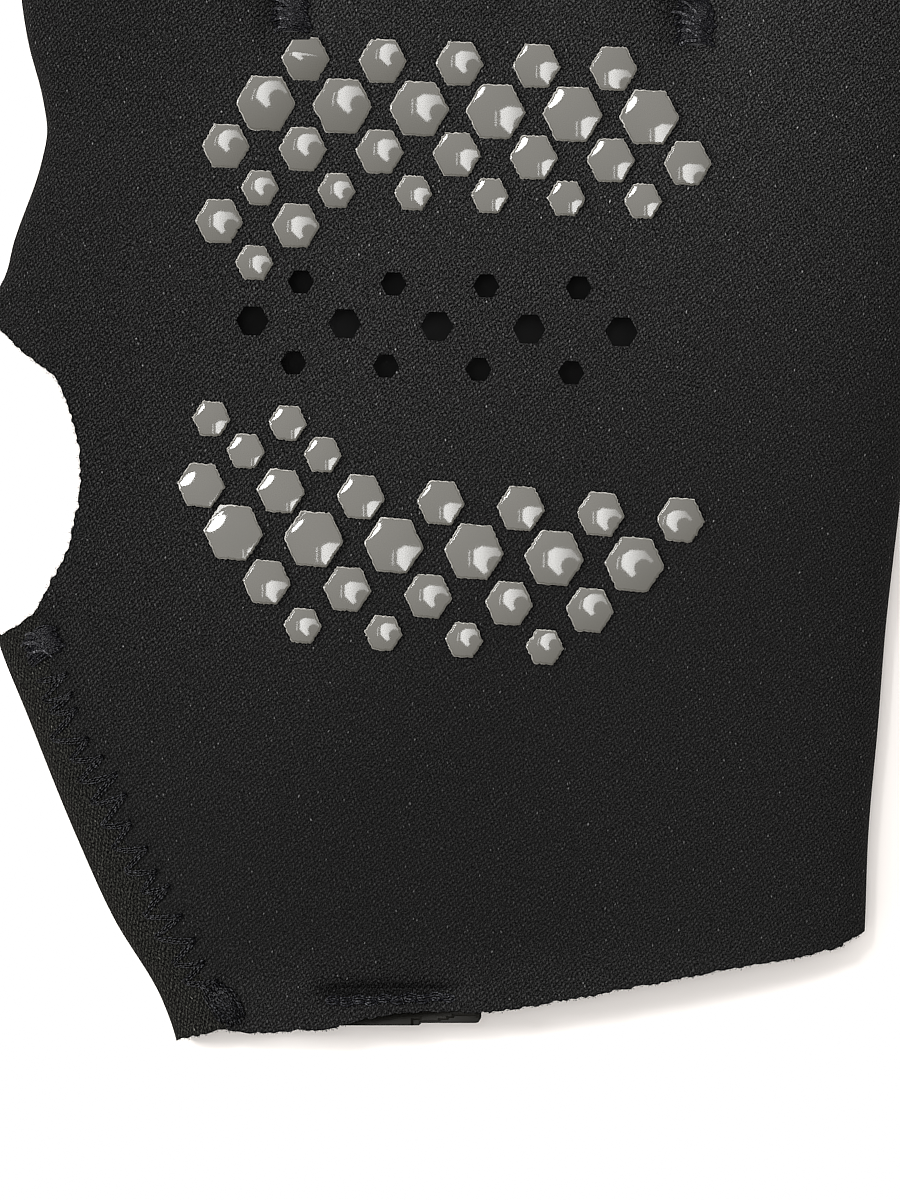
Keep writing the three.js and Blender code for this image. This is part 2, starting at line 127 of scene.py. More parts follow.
# Edges that are cut or sewn, each from one end to the other
THUMB_CUT = [
    (-49.6, 9.0), (-47.4, 6.8), (-45.4, 4.7), (-42.5, 2.6), (-41.0, 0.5), (-39.9, -2.6),
    (-39.1, -6.8), (-39.3, -11.0), (-40.5, -16.3), (-42.2, -19.6), (-43.9, -22.7),
    (-46.7, -24.7), (-48.1, -25.2),
]
WRIST_CUT = [
    (-29.2, -68.1), (-26.4, -67.5), (-24.3, -66.9), (-21.0, -67.2), (-16.0, -67.0),
    (-13.4, -66.9), (-11.0, -66.2), (-8.0, -65.5), (-3.6, -65.0), (0.5, -64.95),
    (3.0, -65.1), (11.5, -63.9),
    (28.3, -60.7), (37.5, -59.1), (41.5, -57.9), (43.7, -56.5),
]
THUMB_SEAM = [
    (-44.6, -18.0), (-43.0, -25.8), (-40.9, -33.5), (-36.6, -43.1), (-32.8, -50.1),
    (-29.2, -57.3), (-25.0, -63.4), (-22.0, -72.0),
]
SEAM_IN_THUMB_HOLE = [(-41.6, 0), (-46, -10), (-60, -20)]

# Where the seams along the sides of the back begin
THUMB_HOLE_TOP = THUMB_CUT[1][1]
WRIST_AT_SEAM = WRIST_CUT[-4][1]

# Silicone grips. Each place in level is the spot on a grip, in shares of its half width from
# its middle, that looks straight up: it wanders because the palm under the grips leans.
GRIP_WIDTHS = {"big": 6.35, "medium": 5.1, "small": 4.05}
GRIP_STRETCH = 1.04
GRIP_ROWS = [
    dict(name="upper_1", size="medium", x=-15.3, y=35.4, step_x=8.1, step_y=-0.26, turn=-2,
         level=[(0.0, 0.72), (0.5, 0.57), (0.51, 0.36), (0.9, 0.01), (0.61, -0.19)]),
    dict(name="upper_2", size="big", x=-19.5, y=30.7, step_x=8.07, step_y=-0.29, turn=-2,
         level=[(0.22, 0.59), (0.43, 0.49), (0.58, 0.3), (0.88, -0.02), (1.08, -0.27),
                (1.04, -0.42)]),
    dict(name="upper_3", size="medium", x=-23.7, y=26.2, step_x=8.1, step_y=-0.3, turn=-2,
         level=[(0.2, 0.46), (0.35, 0.41), (0.55, 0.3), (0.85, 0.0), (1.11, -0.3),
                (1.11, -0.3), (0.66, -0.25)]),
    dict(name="upper_4", size="small", x=-20.1, y=21.8, step_x=8.06, step_y=-0.28, turn=-2,
         level=[(0.27, 0.28), (0.47, 0.23), (0.72, 0.03), (1.03, -0.33), (1.08, -0.33),
                (1.08, -0.33)]),
    dict(name="upper_5", size="medium", x=-24.4, y=18.3, step_x=8.07, step_y=-0.48, turn=-2,
         level=[(0.29, 0.13), (0.4, 0.1)]),
    dict(name="upper_6", size="small", x=-20.7, y=13.9, step_x=8.07, step_y=-0.3, turn=-2,
         level=[(0.47, 0.08)]),
    dict(name="lower_1", size="small", x=-25.2, y=-2.5, step_x=8.02, step_y=-0.45, turn=-4,
         level=[(0.79, -0.48), (0.99, -0.58)]),
    dict(name="lower_2", size="small", x=-21.6, y=-5.9, step_x=8.1, step_y=-0.38, turn=-4,
         level=[(1.06, -0.65), (0.96, -0.55)]),
    dict(name="lower_3", size="medium", x=-26.3, y=-9.5, step_x=8.41, step_y=-0.61, turn=-4.6,
         level=[(1.13, -0.92), (1.04, -0.73), (0.94, -0.58), (0.84, -0.43), (0.85, -0.34),
                (0.65, -0.19), (0.26, -0.05)]),
    dict(name="lower_4", size="big", x=-22.9, y=-14.5, step_x=8.44, step_y=-0.67, turn=-4.6,
         level=[(1.1, -0.85), (0.91, -0.56), (0.81, -0.46), (0.72, -0.27), (0.57, -0.12),
                (0.38, 0.02)]),
    dict(name="lower_5", size="medium", x=-19.4, y=-19.7, step_x=8.5, step_y=-0.74, turn=-4.6,
         level=[(0.58, -0.44), (0.53, -0.19), (0.49, -0.05), (0.49, 0.1), (0.49, 0.19)]),
    dict(name="lower_6", size="small", x=-15.6, y=-24.3, step_x=8.49, step_y=-0.75, turn=-4.6,
         level=[(0.45, -0.12), (0.5, -0.02), (0.51, 0.07), (0.51, 0.22)]),
]

VENT_WIDTHS = {"large": 3.5, "small": 2.8}
VENT_FLOOR = 3.5
VENT_ROWS = [
    dict(size="small", count=4, x=-15.8, y=11.9, step_x=9.75, step_y=-0.21, turn=-2),
    dict(size="large", count=5, x=-20.9, y=7.8, step_x=9.71, step_y=-0.29, turn=-2),
    dict(size="small", count=4, x=-16.6, y=3.4, step_x=9.75, step_y=-0.35, turn=-2),
]

TACKS = [
    dict(name="tack_index_middle", x=-16.9, y=40.8, width=3.7, length=6.5, turn=0, slant=0),
    dict(name="tack_middle_ring", x=6.7, y=44.4, width=3.7, length=6.5, turn=0, slant=0),
    dict(name="tack_ring_little", x=25.7, y=39.4, width=3.7, length=6.5, turn=0, slant=0),
    dict(name="tack_thumb", x=-43.0, y=-26.4, width=3.6, length=4.1, turn=12, slant=20),
]
TAB = dict(left=-14.0, right=3.2, bottom=-66.45, top=-61.4, thickness=1.0, corner=0.6)
TAB_STEP = dict(x=-4.0, y=-65.9, rise_from=-1.2, rise_to=0.4, rise=0.5, depth=0.3, notch=0.25,
                notch_from=-3.2)
STITCH_DENT = dict(x=-6.5, y=-63.3, half_length=6.7, half_width=2.4, depth=1.1)

# Needle holes of the zigzag on the palm, down the seam: thumb side, then palm side
SEAM_HOLES = [
    (-43.9, -30.1), (-40.5, -29.3), (-43.2, -32.2), (-39.9, -31.4), (-42.4, -33.4),
    (-39.4, -33.1), (-42.3, -36.3), (-38.2, -36.2), (-40.2, -38.5), (-36.7, -38.0),
    (-39.4, -40.8), (-35.2, -39.8), (-38.1, -43.1), (-34.2, -42.0), (-36.9, -45.4),
    (-33.7, -45.0), (-35.7, -47.8), (-32.0, -47.7), (-34.5, -50.2), (-31.0, -50.1),
    (-32.7, -52.4), (-29.7, -51.7), (-32.5, -54.9), (-28.3, -54.8), (-31.3, -57.2),
    (-26.9, -57.4), (-29.4, -60.0), (-26.0, -59.8), (-28.3, -62.0), (-24.3, -61.6),
]
SEAM_END = [
    (-26.6, -62.0), (-24.6, -65.2), (-25.4, -62.5), (-24.0, -66.2), (-25.9, -63.3),
    (-22.9, -65.7), (-24.4, -61.9), (-22.4, -66.4), (-24.9, -63.0), (-23.2, -66.5),
    (-23.7, -62.4), (-21.9, -65.6), (-25.1, -62.0), (-22.6, -66.0),
]
WRIST_ROW = dict(start=(-13.2, -63.9), end=(0.4, -63.45), stitches=11)


# Camera first: straight above the palm, as the picture is taken, with a long lens.
PICTURE_MM = 126.3
PICTURE_CENTRE = (-0.105, -21.58, 9.5)
CAMERA_RISE = 1.6
CAMERA_REACH = 20
SENSOR = 36.0


def linked(name, data):
    """New object in the scene that shows the given data."""
    made = bpy.data.objects.new(name, data)
    bpy.context.collection.objects.link(made)
    return made


def make_camera():
    data = bpy.data.cameras.new("camera")
    data.sensor_width = SENSOR
    data.lens = SENSOR * CAMERA_RISE / (PICTURE_MM * MM)
    data.clip_end = CAMERA_REACH
    camera = linked("camera", data)
    camera.location = Vector(PICTURE_CENTRE) * MM + Vector((0, 0, CAMERA_RISE))
    bpy.context.scene.camera = camera


make_camera()


# Nodes and colours
def linear(hexed):
    """sRGB hex value as linear RGBA."""
    shares = [int(hexed[i:i + 2], 16) / 255 for i in (1, 3, 5)]
    return [s / 12.92 if s <= 0.04045 else ((s + 0.055) / 1.055) ** 2.4 for s in shares] + [1.0]


def add(tree, kind, inputs=None, **settings):
    """Adds a node with its settings, and sets or links its inputs by name or number."""
    node = tree.nodes.new(kind)
    for name, value in settings.items():
        setattr(node, name, value)
    for key, value in (inputs or {}).items():
        if isinstance(value, bpy.types.NodeSocket):
            tree.links.new(value, node.inputs[key])
        else:
            node.inputs[key].default_value = value
    return node


# Shape of the glove, as the part's source works it out
def column_at(rows, column, y):
    """Smooth reading of one named column of a table at heights y."""
    heights = np.array([row["y"] for row in rows], float)
    values = np.array([row[column] for row in rows], float)
    slopes = np.gradient(values, heights)
    y = np.clip(y, heights[0], heights[-1])
    i = np.clip(np.searchsorted(heights, y) - 1, 0, len(rows) - 2)
    span = heights[i + 1] - heights[i]
    t = (y - heights[i]) / span
    from_low = (1 + 2 * t) * (1 - t) ** 2 * values[i] + t * (1 - t) ** 2 * span * slopes[i]
    from_high = t * t * (3 - 2 * t) * values[i + 1] + t * t * (t - 1) * span * slopes[i + 1]
    return from_low + from_high


def slit_middle(slit, y):
    below = slit["wrist_x"] + (slit["x"] - slit["wrist_x"]) * (y - WRIST_Y) / (slit["y"] - WRIST_Y)
    above = slit["x"] + (slit["tip_x"] - slit["x"]) * (y - slit["y"]) / (TIP_Y - slit["y"])
    return np.where(y <= slit["y"], below, above)


def slit_half(slit, y):
    share = np.clip((y - slit["y"]) / (TIP_Y - slit["y"]), 0, None)
    return SLIT_HALF_WIDTH + (SLIT_TIP_HALF_WIDTH - SLIT_HALF_WIDTH) * share


def rise(distance, reach):
    """Quarter ellipse: 0 at a fold, 1 from its reach inwards."""
    t = np.clip(distance / reach, 0, 1)
    return np.sqrt(1 - (1 - t) ** 2)


def slit_share(slit, x, y):
    """How much of the palm's height is left beside a slit, and in the soft valley below it."""
    below = np.clip(slit["y"] - y, 0, None)
    aside = np.hypot(x - slit_middle(slit, y), VALLEY_SOFTNESS * below)
    side = rise(aside - slit_half(slit, y), SLIT_REACH)
    away = np.clip(below / VALLEY_LENGTH, 0, 1)
    return np.where(y >= slit["y"], side, 1 - (1 - side) * (1 - away) ** 2)


def stitch_dent(x, y):
    along = (x - STITCH_DENT["x"]) / STITCH_DENT["half_length"]
    across = (y - STITCH_DENT["y"]) / STITCH_DENT["half_width"]
    return STITCH_DENT["depth"] * np.exp(-(along ** 4) - across ** 2)


def from_line(points, x, y):
    """Signed plan distance from a line of points: positive on the left of the way along it."""
    best = np.full(np.shape(x), 1e9)
    signed = np.zeros(np.shape(x))
    for (ax, ay), (bx, by) in zip(points, points[1:]):
        dx, dy = bx - ax, by - ay
        t = np.clip(((x - ax) * dx + (y - ay) * dy) / (dx * dx + dy * dy), 0, 1)
        distance = np.hypot(x - ax - t * dx, y - ay - t * dy)
        side = np.sign(dx * (y - ay) - dy * (x - ax))
        signed = np.where(distance < best, distance * side, signed)
        best = np.minimum(best, distance)
    return signed


# Small forms that only the cloth has: the furrow under the zigzag and the valley beside it,
# pits at the needle holes, dents round the tacks, the crease over the wrist stitches and a
# slow unevenness of the laid-down palm.
SEAM_FURROWS = [
    dict(offset=0.0, half_width=1.3, depth=0.4),
    dict(offset=2.1, half_width=1.0, depth=0.7),
]
NEEDLE_PIT = dict(aside=0.3, radius=0.6, depth=0.6)
TACK_DENT = dict(reach=1.6, depth=0.5)
WRIST_CREASE = dict(y=-62.8, half_width=0.75, half_length=7.2, depth=1.6)
SWELLS = [
    dict(height=0.10, per_x=0.11, per_y=0.05, phase=0.4),
    dict(height=0.08, per_x=-0.06, per_y=0.13, phase=1.9),
    dict(height=0.05, per_x=0.21, per_y=-0.17, phase=4.0),
]


def cloth_relief(x, y):
    relief = np.zeros(np.shape(x))
    seam = from_line(THUMB_SEAM, x, y)
    for furrow in SEAM_FURROWS:
        relief -= furrow["depth"] * np.exp(-((seam - furrow["offset"]) / furrow["half_width"]) ** 2)
    for hole_x, hole_y in SEAM_HOLES[1::2]:
        away = (x - hole_x - NEEDLE_PIT["aside"]) ** 2 + (y - hole_y) ** 2
        relief -= NEEDLE_PIT["depth"] * np.exp(-away / NEEDLE_PIT["radius"] ** 2)
    for tack in TACKS:
        across = np.clip(np.abs(x - tack["x"]) - tack["width"] / 2, 0, None)
        along = np.clip(np.abs(y - tack["y"]) - tack["length"] / 2, 0, None)
        relief -= TACK_DENT["depth"] * np.exp(-(across ** 2 + along ** 2) / TACK_DENT["reach"] ** 2)
    along = (x - STITCH_DENT["x"]) / WRIST_CREASE["half_length"]
    across = (y - WRIST_CREASE["y"]) / WRIST_CREASE["half_width"]
    relief -= WRIST_CREASE["depth"] * np.exp(-(along ** 8) - across ** 2)
    for swell in SWELLS:
        wave = np.sin(swell["per_x"] * x + swell["per_y"] * y + swell["phase"])
        relief += swell["height"] * wave
    return relief


def fold_share(x, y, inset=0.0):
    """Share of the palm's height that its two side folds leave, inset from the outside."""
    reach = column_at(CROWNS, "reach", y) - inset
    left = x - column_at(FOLDS, "left", y) - inset
    right = column_at(FOLDS, "right", y) - x - inset
    return rise(left, reach) * rise(right, reach)


def smooth_top(x, y):
    """Height of the palm as it would be without slits and dents."""
    return FOLD_RADIUS + (column_at(CROWNS, "height", y) - FOLD_RADIUS) * fold_share(x, y)


def palm_top(x, y, inset=0.0):
    """Top of the glove, or of its hollow when inset by the wall."""
    crown = column_at(CROWNS, "height", y)
    outer = fold_share(x, y)
    share = np.ones(np.shape(x))
    for slit in SLITS:
        share = share * slit_share(slit, x, y)
    dents = stitch_dent(x, y) - cloth_relief(x, y)
    drop = (crown - FOLD_RADIUS) * outer * (1 - share) + dents * outer
    return FOLD_RADIUS + (crown - inset - FOLD_RADIUS) * fold_share(x, y, inset) - drop


def fold_distance(x, y):
    nearest = np.minimum(x - column_at(FOLDS, "left", y), column_at(FOLDS, "right", y) - x)
    for slit in SLITS:
        above = np.maximum(y, slit["y"])
        aside = np.hypot(x - slit_middle(slit, above), np.clip(slit["y"] - y, 0, None))
        nearest = np.minimum(nearest, aside - slit_half(slit, above))
    return nearest


def back_bottom(x, y, inset=0.0):
    """Underside of the glove, or the floor of its hollow."""
    radius = FOLD_RADIUS - inset
    d = np.clip(fold_distance(x, y) - inset, 0, radius)
    return FOLD_RADIUS - np.sqrt(radius ** 2 - (radius - d) ** 2)


# Shallow furrows on the underside that keep its seam threads clear of the table
UNDER_FURROW = dict(half_width=2.2, depth=0.45)


def under_furrow(x, y):
    left = x - column_at(FOLDS, "left", y) - SEAM_INSET
    right = column_at(FOLDS, "right", y) - SEAM_INSET - x
    left = np.where(y > THUMB_HOLE_TOP, left, CLEAR_X)
    aside = np.minimum(np.abs(left), np.abs(right)) / UNDER_FURROW["half_width"]
    return UNDER_FURROW["depth"] * np.exp(-(aside ** 4))


# Meshes
def mesh_object(name, points, faces, materials=(), uvs=None, slot=0):
    """Mesh object from points in millimetres, faces and one (u, v) a face corner."""
    mesh = bpy.data.meshes.new(name)
    mesh.from_pydata(np.asarray(points) * MM, [], faces)
    for material in materials:
        mesh.materials.append(material)
    layer = mesh.uv_layers.new(name="cloth")
    if uvs is not None:
        layer.data.foreach_set("uv", np.asarray(uvs, np.float32).ravel())
    mesh.polygons.foreach_set("material_index", [slot] * len(mesh.polygons))
    mesh.update()
    return linked(name, mesh)


def evaluated(source, name):
    """A plain mesh object with the source's modifiers applied; the source is removed."""
    graph = bpy.context.evaluated_depsgraph_get()
    mesh = bpy.data.meshes.new_from_object(source.evaluated_get(graph), depsgraph=graph)
    made = linked(name, mesh)
    mesh.name = name
    bpy.data.objects.remove(source)
    return made


def copied(source):
    return linked(source.name + "_copy", source.data.copy())


def shaped(source, name, *steps):
    """Copy of source after joins and cuts, each step being (operation, other object)."""
    made = copied(source)
    for operation, other in steps:
        modifier = made.modifiers.new(operation, "BOOLEAN")
        modifier.operation = operation
        modifier.solver = "MANIFOLD"
        modifier.object = other
    return evaluated(made, name)


def smooth_line(points, spacing):
    """Points about spacing apart on a smooth curve through the given ones."""
    p = np.array(points, float)
    ends = np.vstack([2 * p[0] - p[1], p, 2 * p[-1] - p[-2]])
    out = []
    for a, b, c, d in zip(ends, ends[1:], ends[2:], ends[3:]):
        steps = max(int(np.hypot(*(c - b)) / spacing), 1)
        for t in np.arange(steps) / steps:
            out.append(0.5 * (2 * b + (c - a) * t + (2 * a - 5 * b + 4 * c - d) * t ** 2
                              + (3 * b - a - 3 * c + d) * t ** 3))
    return np.vstack([out, p[-1]])


def square_to(line):
    """Unit vectors to the left of a line at each of its points."""
    step = np.gradient(line, axis=0)
    beside = np.column_stack([-step[:, 1], step[:, 0]])
    return beside / np.linalg.norm(beside, axis=1, keepdims=True)


def ragged(line, amount, seed):
    """The line with each point moved sideways by up to about amount, as a knife leaves knit."""
    noise = np.random.default_rng(seed).normal(0, 1, len(line))
    noise = np.convolve(noise, [0.25, 0.5, 0.25], "same")
    return line + square_to(line) * (noise * amount)[:, None]


def prism_mesh(outline, low, high):
    """Points and faces of an upright prism over a plan outline given either way round."""
    p = np.asarray(outline, float)
    x, y = p[:, 0], p[:, 1]
    if np.sum(x * np.roll(y, -1) - y * np.roll(x, -1)) < 0:
        p = p[::-1]
    n = len(p)
    points = np.vstack([np.column_stack([p, np.full(n, z)]) for z in (low, high)])
    sides = [(i, (i + 1) % n, n + (i + 1) % n, n + i) for i in range(n)]
    return points, [tuple(range(n))[::-1], tuple(range(n, 2 * n))] + sides


# The cloth's materials are knit, foam and lining, in this order
FOAM_SLOT = 1
LINING_SLOT = 2


def prisms(name, outlines, low=CUT_BELOW, high=CUT_ABOVE):
    """One cutter of separate prisms; the walls that it leaves show the foam."""
    points, faces = [], []
    for outline in outlines:
        p, f = prism_mesh(outline, low, high)
        faces += [tuple(i + len(points) for i in face) for face in f]
        points += list(p)
    return mesh_object(name, points, faces, CLOTH_MATERIALS, slot=FOAM_SLOT)


# Blank of the whole glove: its rows are closer together at the wrist stitches and the finger
# crotches, and the hollow and the seam edges take rows further apart than the outside
ROW_RUNS = [
    dict(start=-72, end=-58, step=0.5),
    dict(start=-58, end=36, step=0.8),
    dict(start=36, end=50, step=0.4),
    dict(start=50, end=69, step=0.8),
]
FINE = 1
COARSE = 0.5
LOBE_STEPS = 40
HOLLOW_LOBE_STEPS = 14


def stations(fineness):
    """Heights of the rows."""
    rows = [np.arange(run["start"], run["end"], run["step"] / fineness) for run in ROW_RUNS]
    return np.append(np.concatenate(rows), TIP_Y)


def columns_at(y, inset, steps):
    """Columns across the glove in four lobes, spaced closer towards their sides."""
    edges = [column_at(FOLDS, "left", y) + inset]
    for slit in SLITS:
        edges += [slit_middle(slit, y) - slit_half(slit, y), slit_middle(slit, y) + slit_half(slit, y)]
    edges.append(column_at(FOLDS, "right", y) - inset)
    share = (1 - np.cos(np.pi * np.arange(steps + 1) / steps)) / 2
    lobes = [a[:, None] + (b - a)[:, None] * share for a, b in zip(edges[::2], edges[1::2])]
    return np.hstack(lobes)


def grid_faces(rows, columns, first, flip):
    r, c = np.mgrid[0:rows - 1, 0:columns - 1]
    corner = first + r * columns + c
    quads = np.stack([corner, corner + 1, corner + columns + 1, corner + columns], -1)
    quads = quads.reshape(-1, 4)
    return quads[:, ::-1] if flip else quads


def closed_faces(rows, columns):
    """Faces of a solid between two grids of points, the lower grid first."""
    count = rows * columns
    rim = np.concatenate([
        np.arange(columns), columns * np.arange(2, rows) - 1,
        np.arange(count - 1, count - columns - 1, -1), columns * np.arange(rows - 2, 0, -1),
    ])
    turned = np.roll(rim, -1)
    return np.vstack([
        grid_faces(rows, columns, 0, True), grid_faces(rows, columns, count, False),
        np.stack([rim, turned, turned + count, rim + count], 1),
    ])


def along_rows(x, height):
    """Way along each row of points over a surface, from the row's first point."""
    steps = np.hypot(np.diff(x, axis=1), np.diff(height, axis=1))
    return np.pad(np.cumsum(steps, 1), ((0, 0), (1, 0)))


def glove_blank(inset, steps, fineness):
    """The glove before its cuts, or the hollow in it when inset by the wall."""
    y = stations(fineness)
    x = columns_at(y, inset, steps)
    y = np.repeat(y[:, None], x.shape[1], 1)
    low = back_bottom(x, y, inset) - RIM
    top = np.maximum(palm_top(x, y, inset), low + RIM) + RIM
    if inset == 0:
        low = np.maximum(low, 0) + under_furrow(x, y)
        top = np.maximum(top, RIM)
    points = np.vstack([np.stack([x, y, z], -1).reshape(-1, 3) for z in (low, top)])
    faces = closed_faces(*x.shape)

    # Cloth coordinates in millimetres: how far round the hand and how far along it
    around_top = along_rows(x, smooth_top(x, y))
    middle = np.array([np.interp(0, row, around) for row, around in zip(x, around_top)])
    around_top -= middle[:, None]
    around_low = around_top[:, :1] - along_rows(x, low)
    around = np.concatenate([around_low.ravel(), around_top.ravel()])
    along = np.tile(y.ravel(), 2)
    uvs = np.stack([around[faces], along[faces]], -1).reshape(-1, 2)
    slot = LINING_SLOT if inset else 0
    return mesh_object("blank", points, faces.tolist(), CLOTH_MATERIALS, uvs, slot)


EDGE_SPACING = 0.22
EDGE_RAG = 0.12
EDGE_SEEDS = dict(fingers=11, thumb=3, wrist=5)
SEAM_SPACING = 1.0
SLIT_ARC_POINTS = 9
PAST_EDGE = 1


def slit_outlines(widen):
    outlines = []
    past = TIP_Y + PAST_EDGE
    for slit in SLITS:
        radius = SLIT_HALF_WIDTH + RIM + widen
        tip_half = slit_half(slit, past) + RIM + widen
        turn = np.linspace(math.pi, 2 * math.pi, SLIT_ARC_POINTS)
        bottom = slit["y"] + radius - widen
        arc = [(slit["x"] + radius * math.cos(t), bottom + radius * math.sin(t)) for t in turn]
        tip_x = float(slit_middle(slit, past))
        outlines.append([(tip_x - tip_half, past)] + arc + [(tip_x + tip_half, past)])
    return outlines


def cut_edge(points, seed):
    """Edge that a knife leaves through the given points."""
    return ragged(smooth_line(points, EDGE_SPACING), EDGE_RAG, seed)


def thumb_edge():
    return cut_edge(THUMB_CUT, EDGE_SEEDS["thumb"])


def wrist_edge():
    return cut_edge(WRIST_CUT, EDGE_SEEDS["wrist"])


def away_outlines():
    """What is cut away past the open fingers, in the thumb hole and below the wrist."""
    fingers = []
    for i, stall in enumerate(STALL_ENDS):
        start = -CLEAR_X if i == 0 else float(slit_middle(SLITS[i - 1], stall["y"]))
        end = CLEAR_X if i == len(SLITS) else float(slit_middle(SLITS[i], stall["y"]))
        edge = cut_edge([(start, stall["y"]), (end, stall["y"])], EDGE_SEEDS["fingers"] + i)
        fingers += edge.tolist()
    fingers += [(CLEAR_X, CLEAR_Y), (-CLEAR_X, CLEAR_Y)]
    thumb = [(-CLEAR_X, THUMB_CUT[0][1] + PAST_EDGE)] + thumb_edge().tolist()
    thumb.append((-CLEAR_X, THUMB_CUT[-1][1] - PAST_EDGE))
    wrist = wrist_edge().tolist() + [
        (CLEAR_X, WRIST_CUT[-1][1]), (CLEAR_X, -CLEAR_Y), (-CLEAR_X, -CLEAR_Y),
        (-CLEAR_X, WRIST_CUT[0][1]),
    ]
    return [fingers, thumb, wrist]


def back_side(grow):
    """Part of the wall that belongs to the back, with its seam edges moved out by grow."""
    y = stations(COARSE)
    above = y[(y > THUMB_HOLE_TOP) & (y < TIP_Y)]
    left = np.column_stack([column_at(FOLDS, "left", above) + SEAM_INSET - grow, above])[::-1]
    right = np.column_stack([column_at(FOLDS, "right", y) - SEAM_INSET + grow, y])
    outline = [(right[0][0], -CLEAR_Y)] + right.tolist() + [(right[-1][0], CLEAR_Y)]
    outline += [(left[0][0], CLEAR_Y)] + left.tolist()
    outline += [(x - grow, y) for x, y in SEAM_IN_THUMB_HOLE] + [(-CLEAR_X, -CLEAR_Y)]
    under = prisms("under", [outline], high=SEAM_HEIGHT + grow)
    seam = [(x + grow, y) for x, y in smooth_line(THUMB_SEAM, SEAM_SPACING)]
    wrap_outline = seam + [(-CLEAR_X, THUMB_SEAM[-1][1]), (-CLEAR_X, THUMB_SEAM[0][1])]
    wrap = prisms("wrap", [wrap_outline])
    return shaped(under, "back_side", ("UNION", wrap))


def hexagon(width, x, y, turn):
    angles = np.radians(turn + 60 * np.arange(6))
    return np.column_stack([x + width / 2 * np.cos(angles), y + width / 2 * np.sin(angles)])


def row_places(row, count):
    return [(row["x"] + i * row["step_x"], row["y"] + i * row["step_y"]) for i in range(count)]


def glove_walls():
    """Palm, back and the two of them in one, cut from the blank."""
    slits = prisms("slits", slit_outlines(0))
    wide_slits = prisms("wide_slits", slit_outlines(WALL))
    away = prisms("away", away_outlines())
    vents = prisms("vents", [
        hexagon(VENT_WIDTHS[row["size"]], x, y, row["turn"])
        for row in VENT_ROWS for x, y in row_places(row, row["count"])
    ], low=VENT_FLOOR)
    outside = glove_blank(0, LOBE_STEPS, FINE)
    inside = glove_blank(WALL, HOLLOW_LOBE_STEPS, COARSE)
    hollow = shaped(inside, "hollow", ("DIFFERENCE", wide_slits))
    shell = shaped(outside, "shell", ("DIFFERENCE", slits), ("DIFFERENCE", away), ("DIFFERENCE", hollow))
    palm = shaped(shell, "palm", ("DIFFERENCE", back_side(BUTT_GAP)), ("DIFFERENCE", vents))
    back = shaped(shell, "back", ("INTERSECT", back_side(0)))
    return palm, back, shell


def remove_scratch(kept):
    for thing in list(bpy.context.scene.objects):
        if thing.type == "MESH" and "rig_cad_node" not in thing and thing not in kept:
            bpy.data.objects.remove(thing)


# Edges sharper than these angles stay sharp
SHARP_ANGLES = dict(cloth=35, grip=50, thread=60)


def smooth_shaded(piece, angle=SHARP_ANGLES["cloth"]):
    piece.data.polygons.foreach_set("use_smooth", [True] * len(piece.data.polygons))
    piece.data.set_sharp_from_angle(angle=math.radians(angle))


def finish_piece(piece, nodes):
    """Rides on the one body and stands for its CAD nodes, which it hides."""
    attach(piece, "root")
    if nodes:
        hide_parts(*nodes)


# Materials
def new_material(name):
    material = bpy.data.materials.new(name)
    material.use_nodes = True
    tree = material.node_tree
    tree.nodes.clear()
    return material, tree


def principled(tree, inputs):
    shader = add(tree, "ShaderNodeBsdfPrincipled", inputs)
    add(tree, "ShaderNodeOutputMaterial", {"Surface": shader.outputs["BSDF"]})


def math_node(tree, operation, *values):
    return add(tree, "ShaderNodeMath", dict(enumerate(values)), operation=operation).outputs[0]


def vector_node(tree, operation, *values):
    """Result of a vector operation, which is a number for a product or a distance."""
    node = add(tree, "ShaderNodeVectorMath", dict(enumerate(values)), operation=operation)
    return node.outputs["Value" if operation in ("DOT_PRODUCT", "DISTANCE") else "Vector"]


def scaled(tree, vector, scale):
    return add(tree, "ShaderNodeVectorMath", {0: vector, "Scale": scale}, operation="SCALE").outputs[0]


def rotated(tree, vector, angle):
    return add(tree, "ShaderNodeVectorRotate", {"Vector": vector, "Angle": angle},
               rotation_type="Z_AXIS").outputs[0]


def split(tree, vector):
    return add(tree, "ShaderNodeSeparateXYZ", {0: vector}).outputs


def combined(tree, *values):
    return add(tree, "ShaderNodeCombineXYZ", dict(enumerate(values))).outputs[0]


def smooth_range(tree, value, start, end):
    return add(tree, "ShaderNodeMapRange", {"Value": value, "From Min": start, "From Max": end},
               interpolation_type="SMOOTHSTEP").outputs[0]


def grain(tree, size, detail):
    """Noise that sits fixed on a piece, with grains of the given size in millimetres."""
    place = add(tree, "ShaderNodeTexCoord").outputs["Object"]
    return add(tree, "ShaderNodeTexNoise", {
        "Vector": place, "Scale": 1 / (size * MM), "Detail": detail}).outputs[0]


def blend(tree, share, start, end):
    """Colour between two others, each a hex value or a socket."""
    start, end = (linear(c) if isinstance(c, str) else c for c in (start, end))
    return add(tree, "ShaderNodeMix", {0: share, 6: start, 7: end}, data_type="RGBA").outputs[2]


def bumped(tree, height, strength, depth):
    return add(tree, "ShaderNodeBump", {
        "Height": height, "Strength": strength, "Distance": depth * MM}).outputs[0]


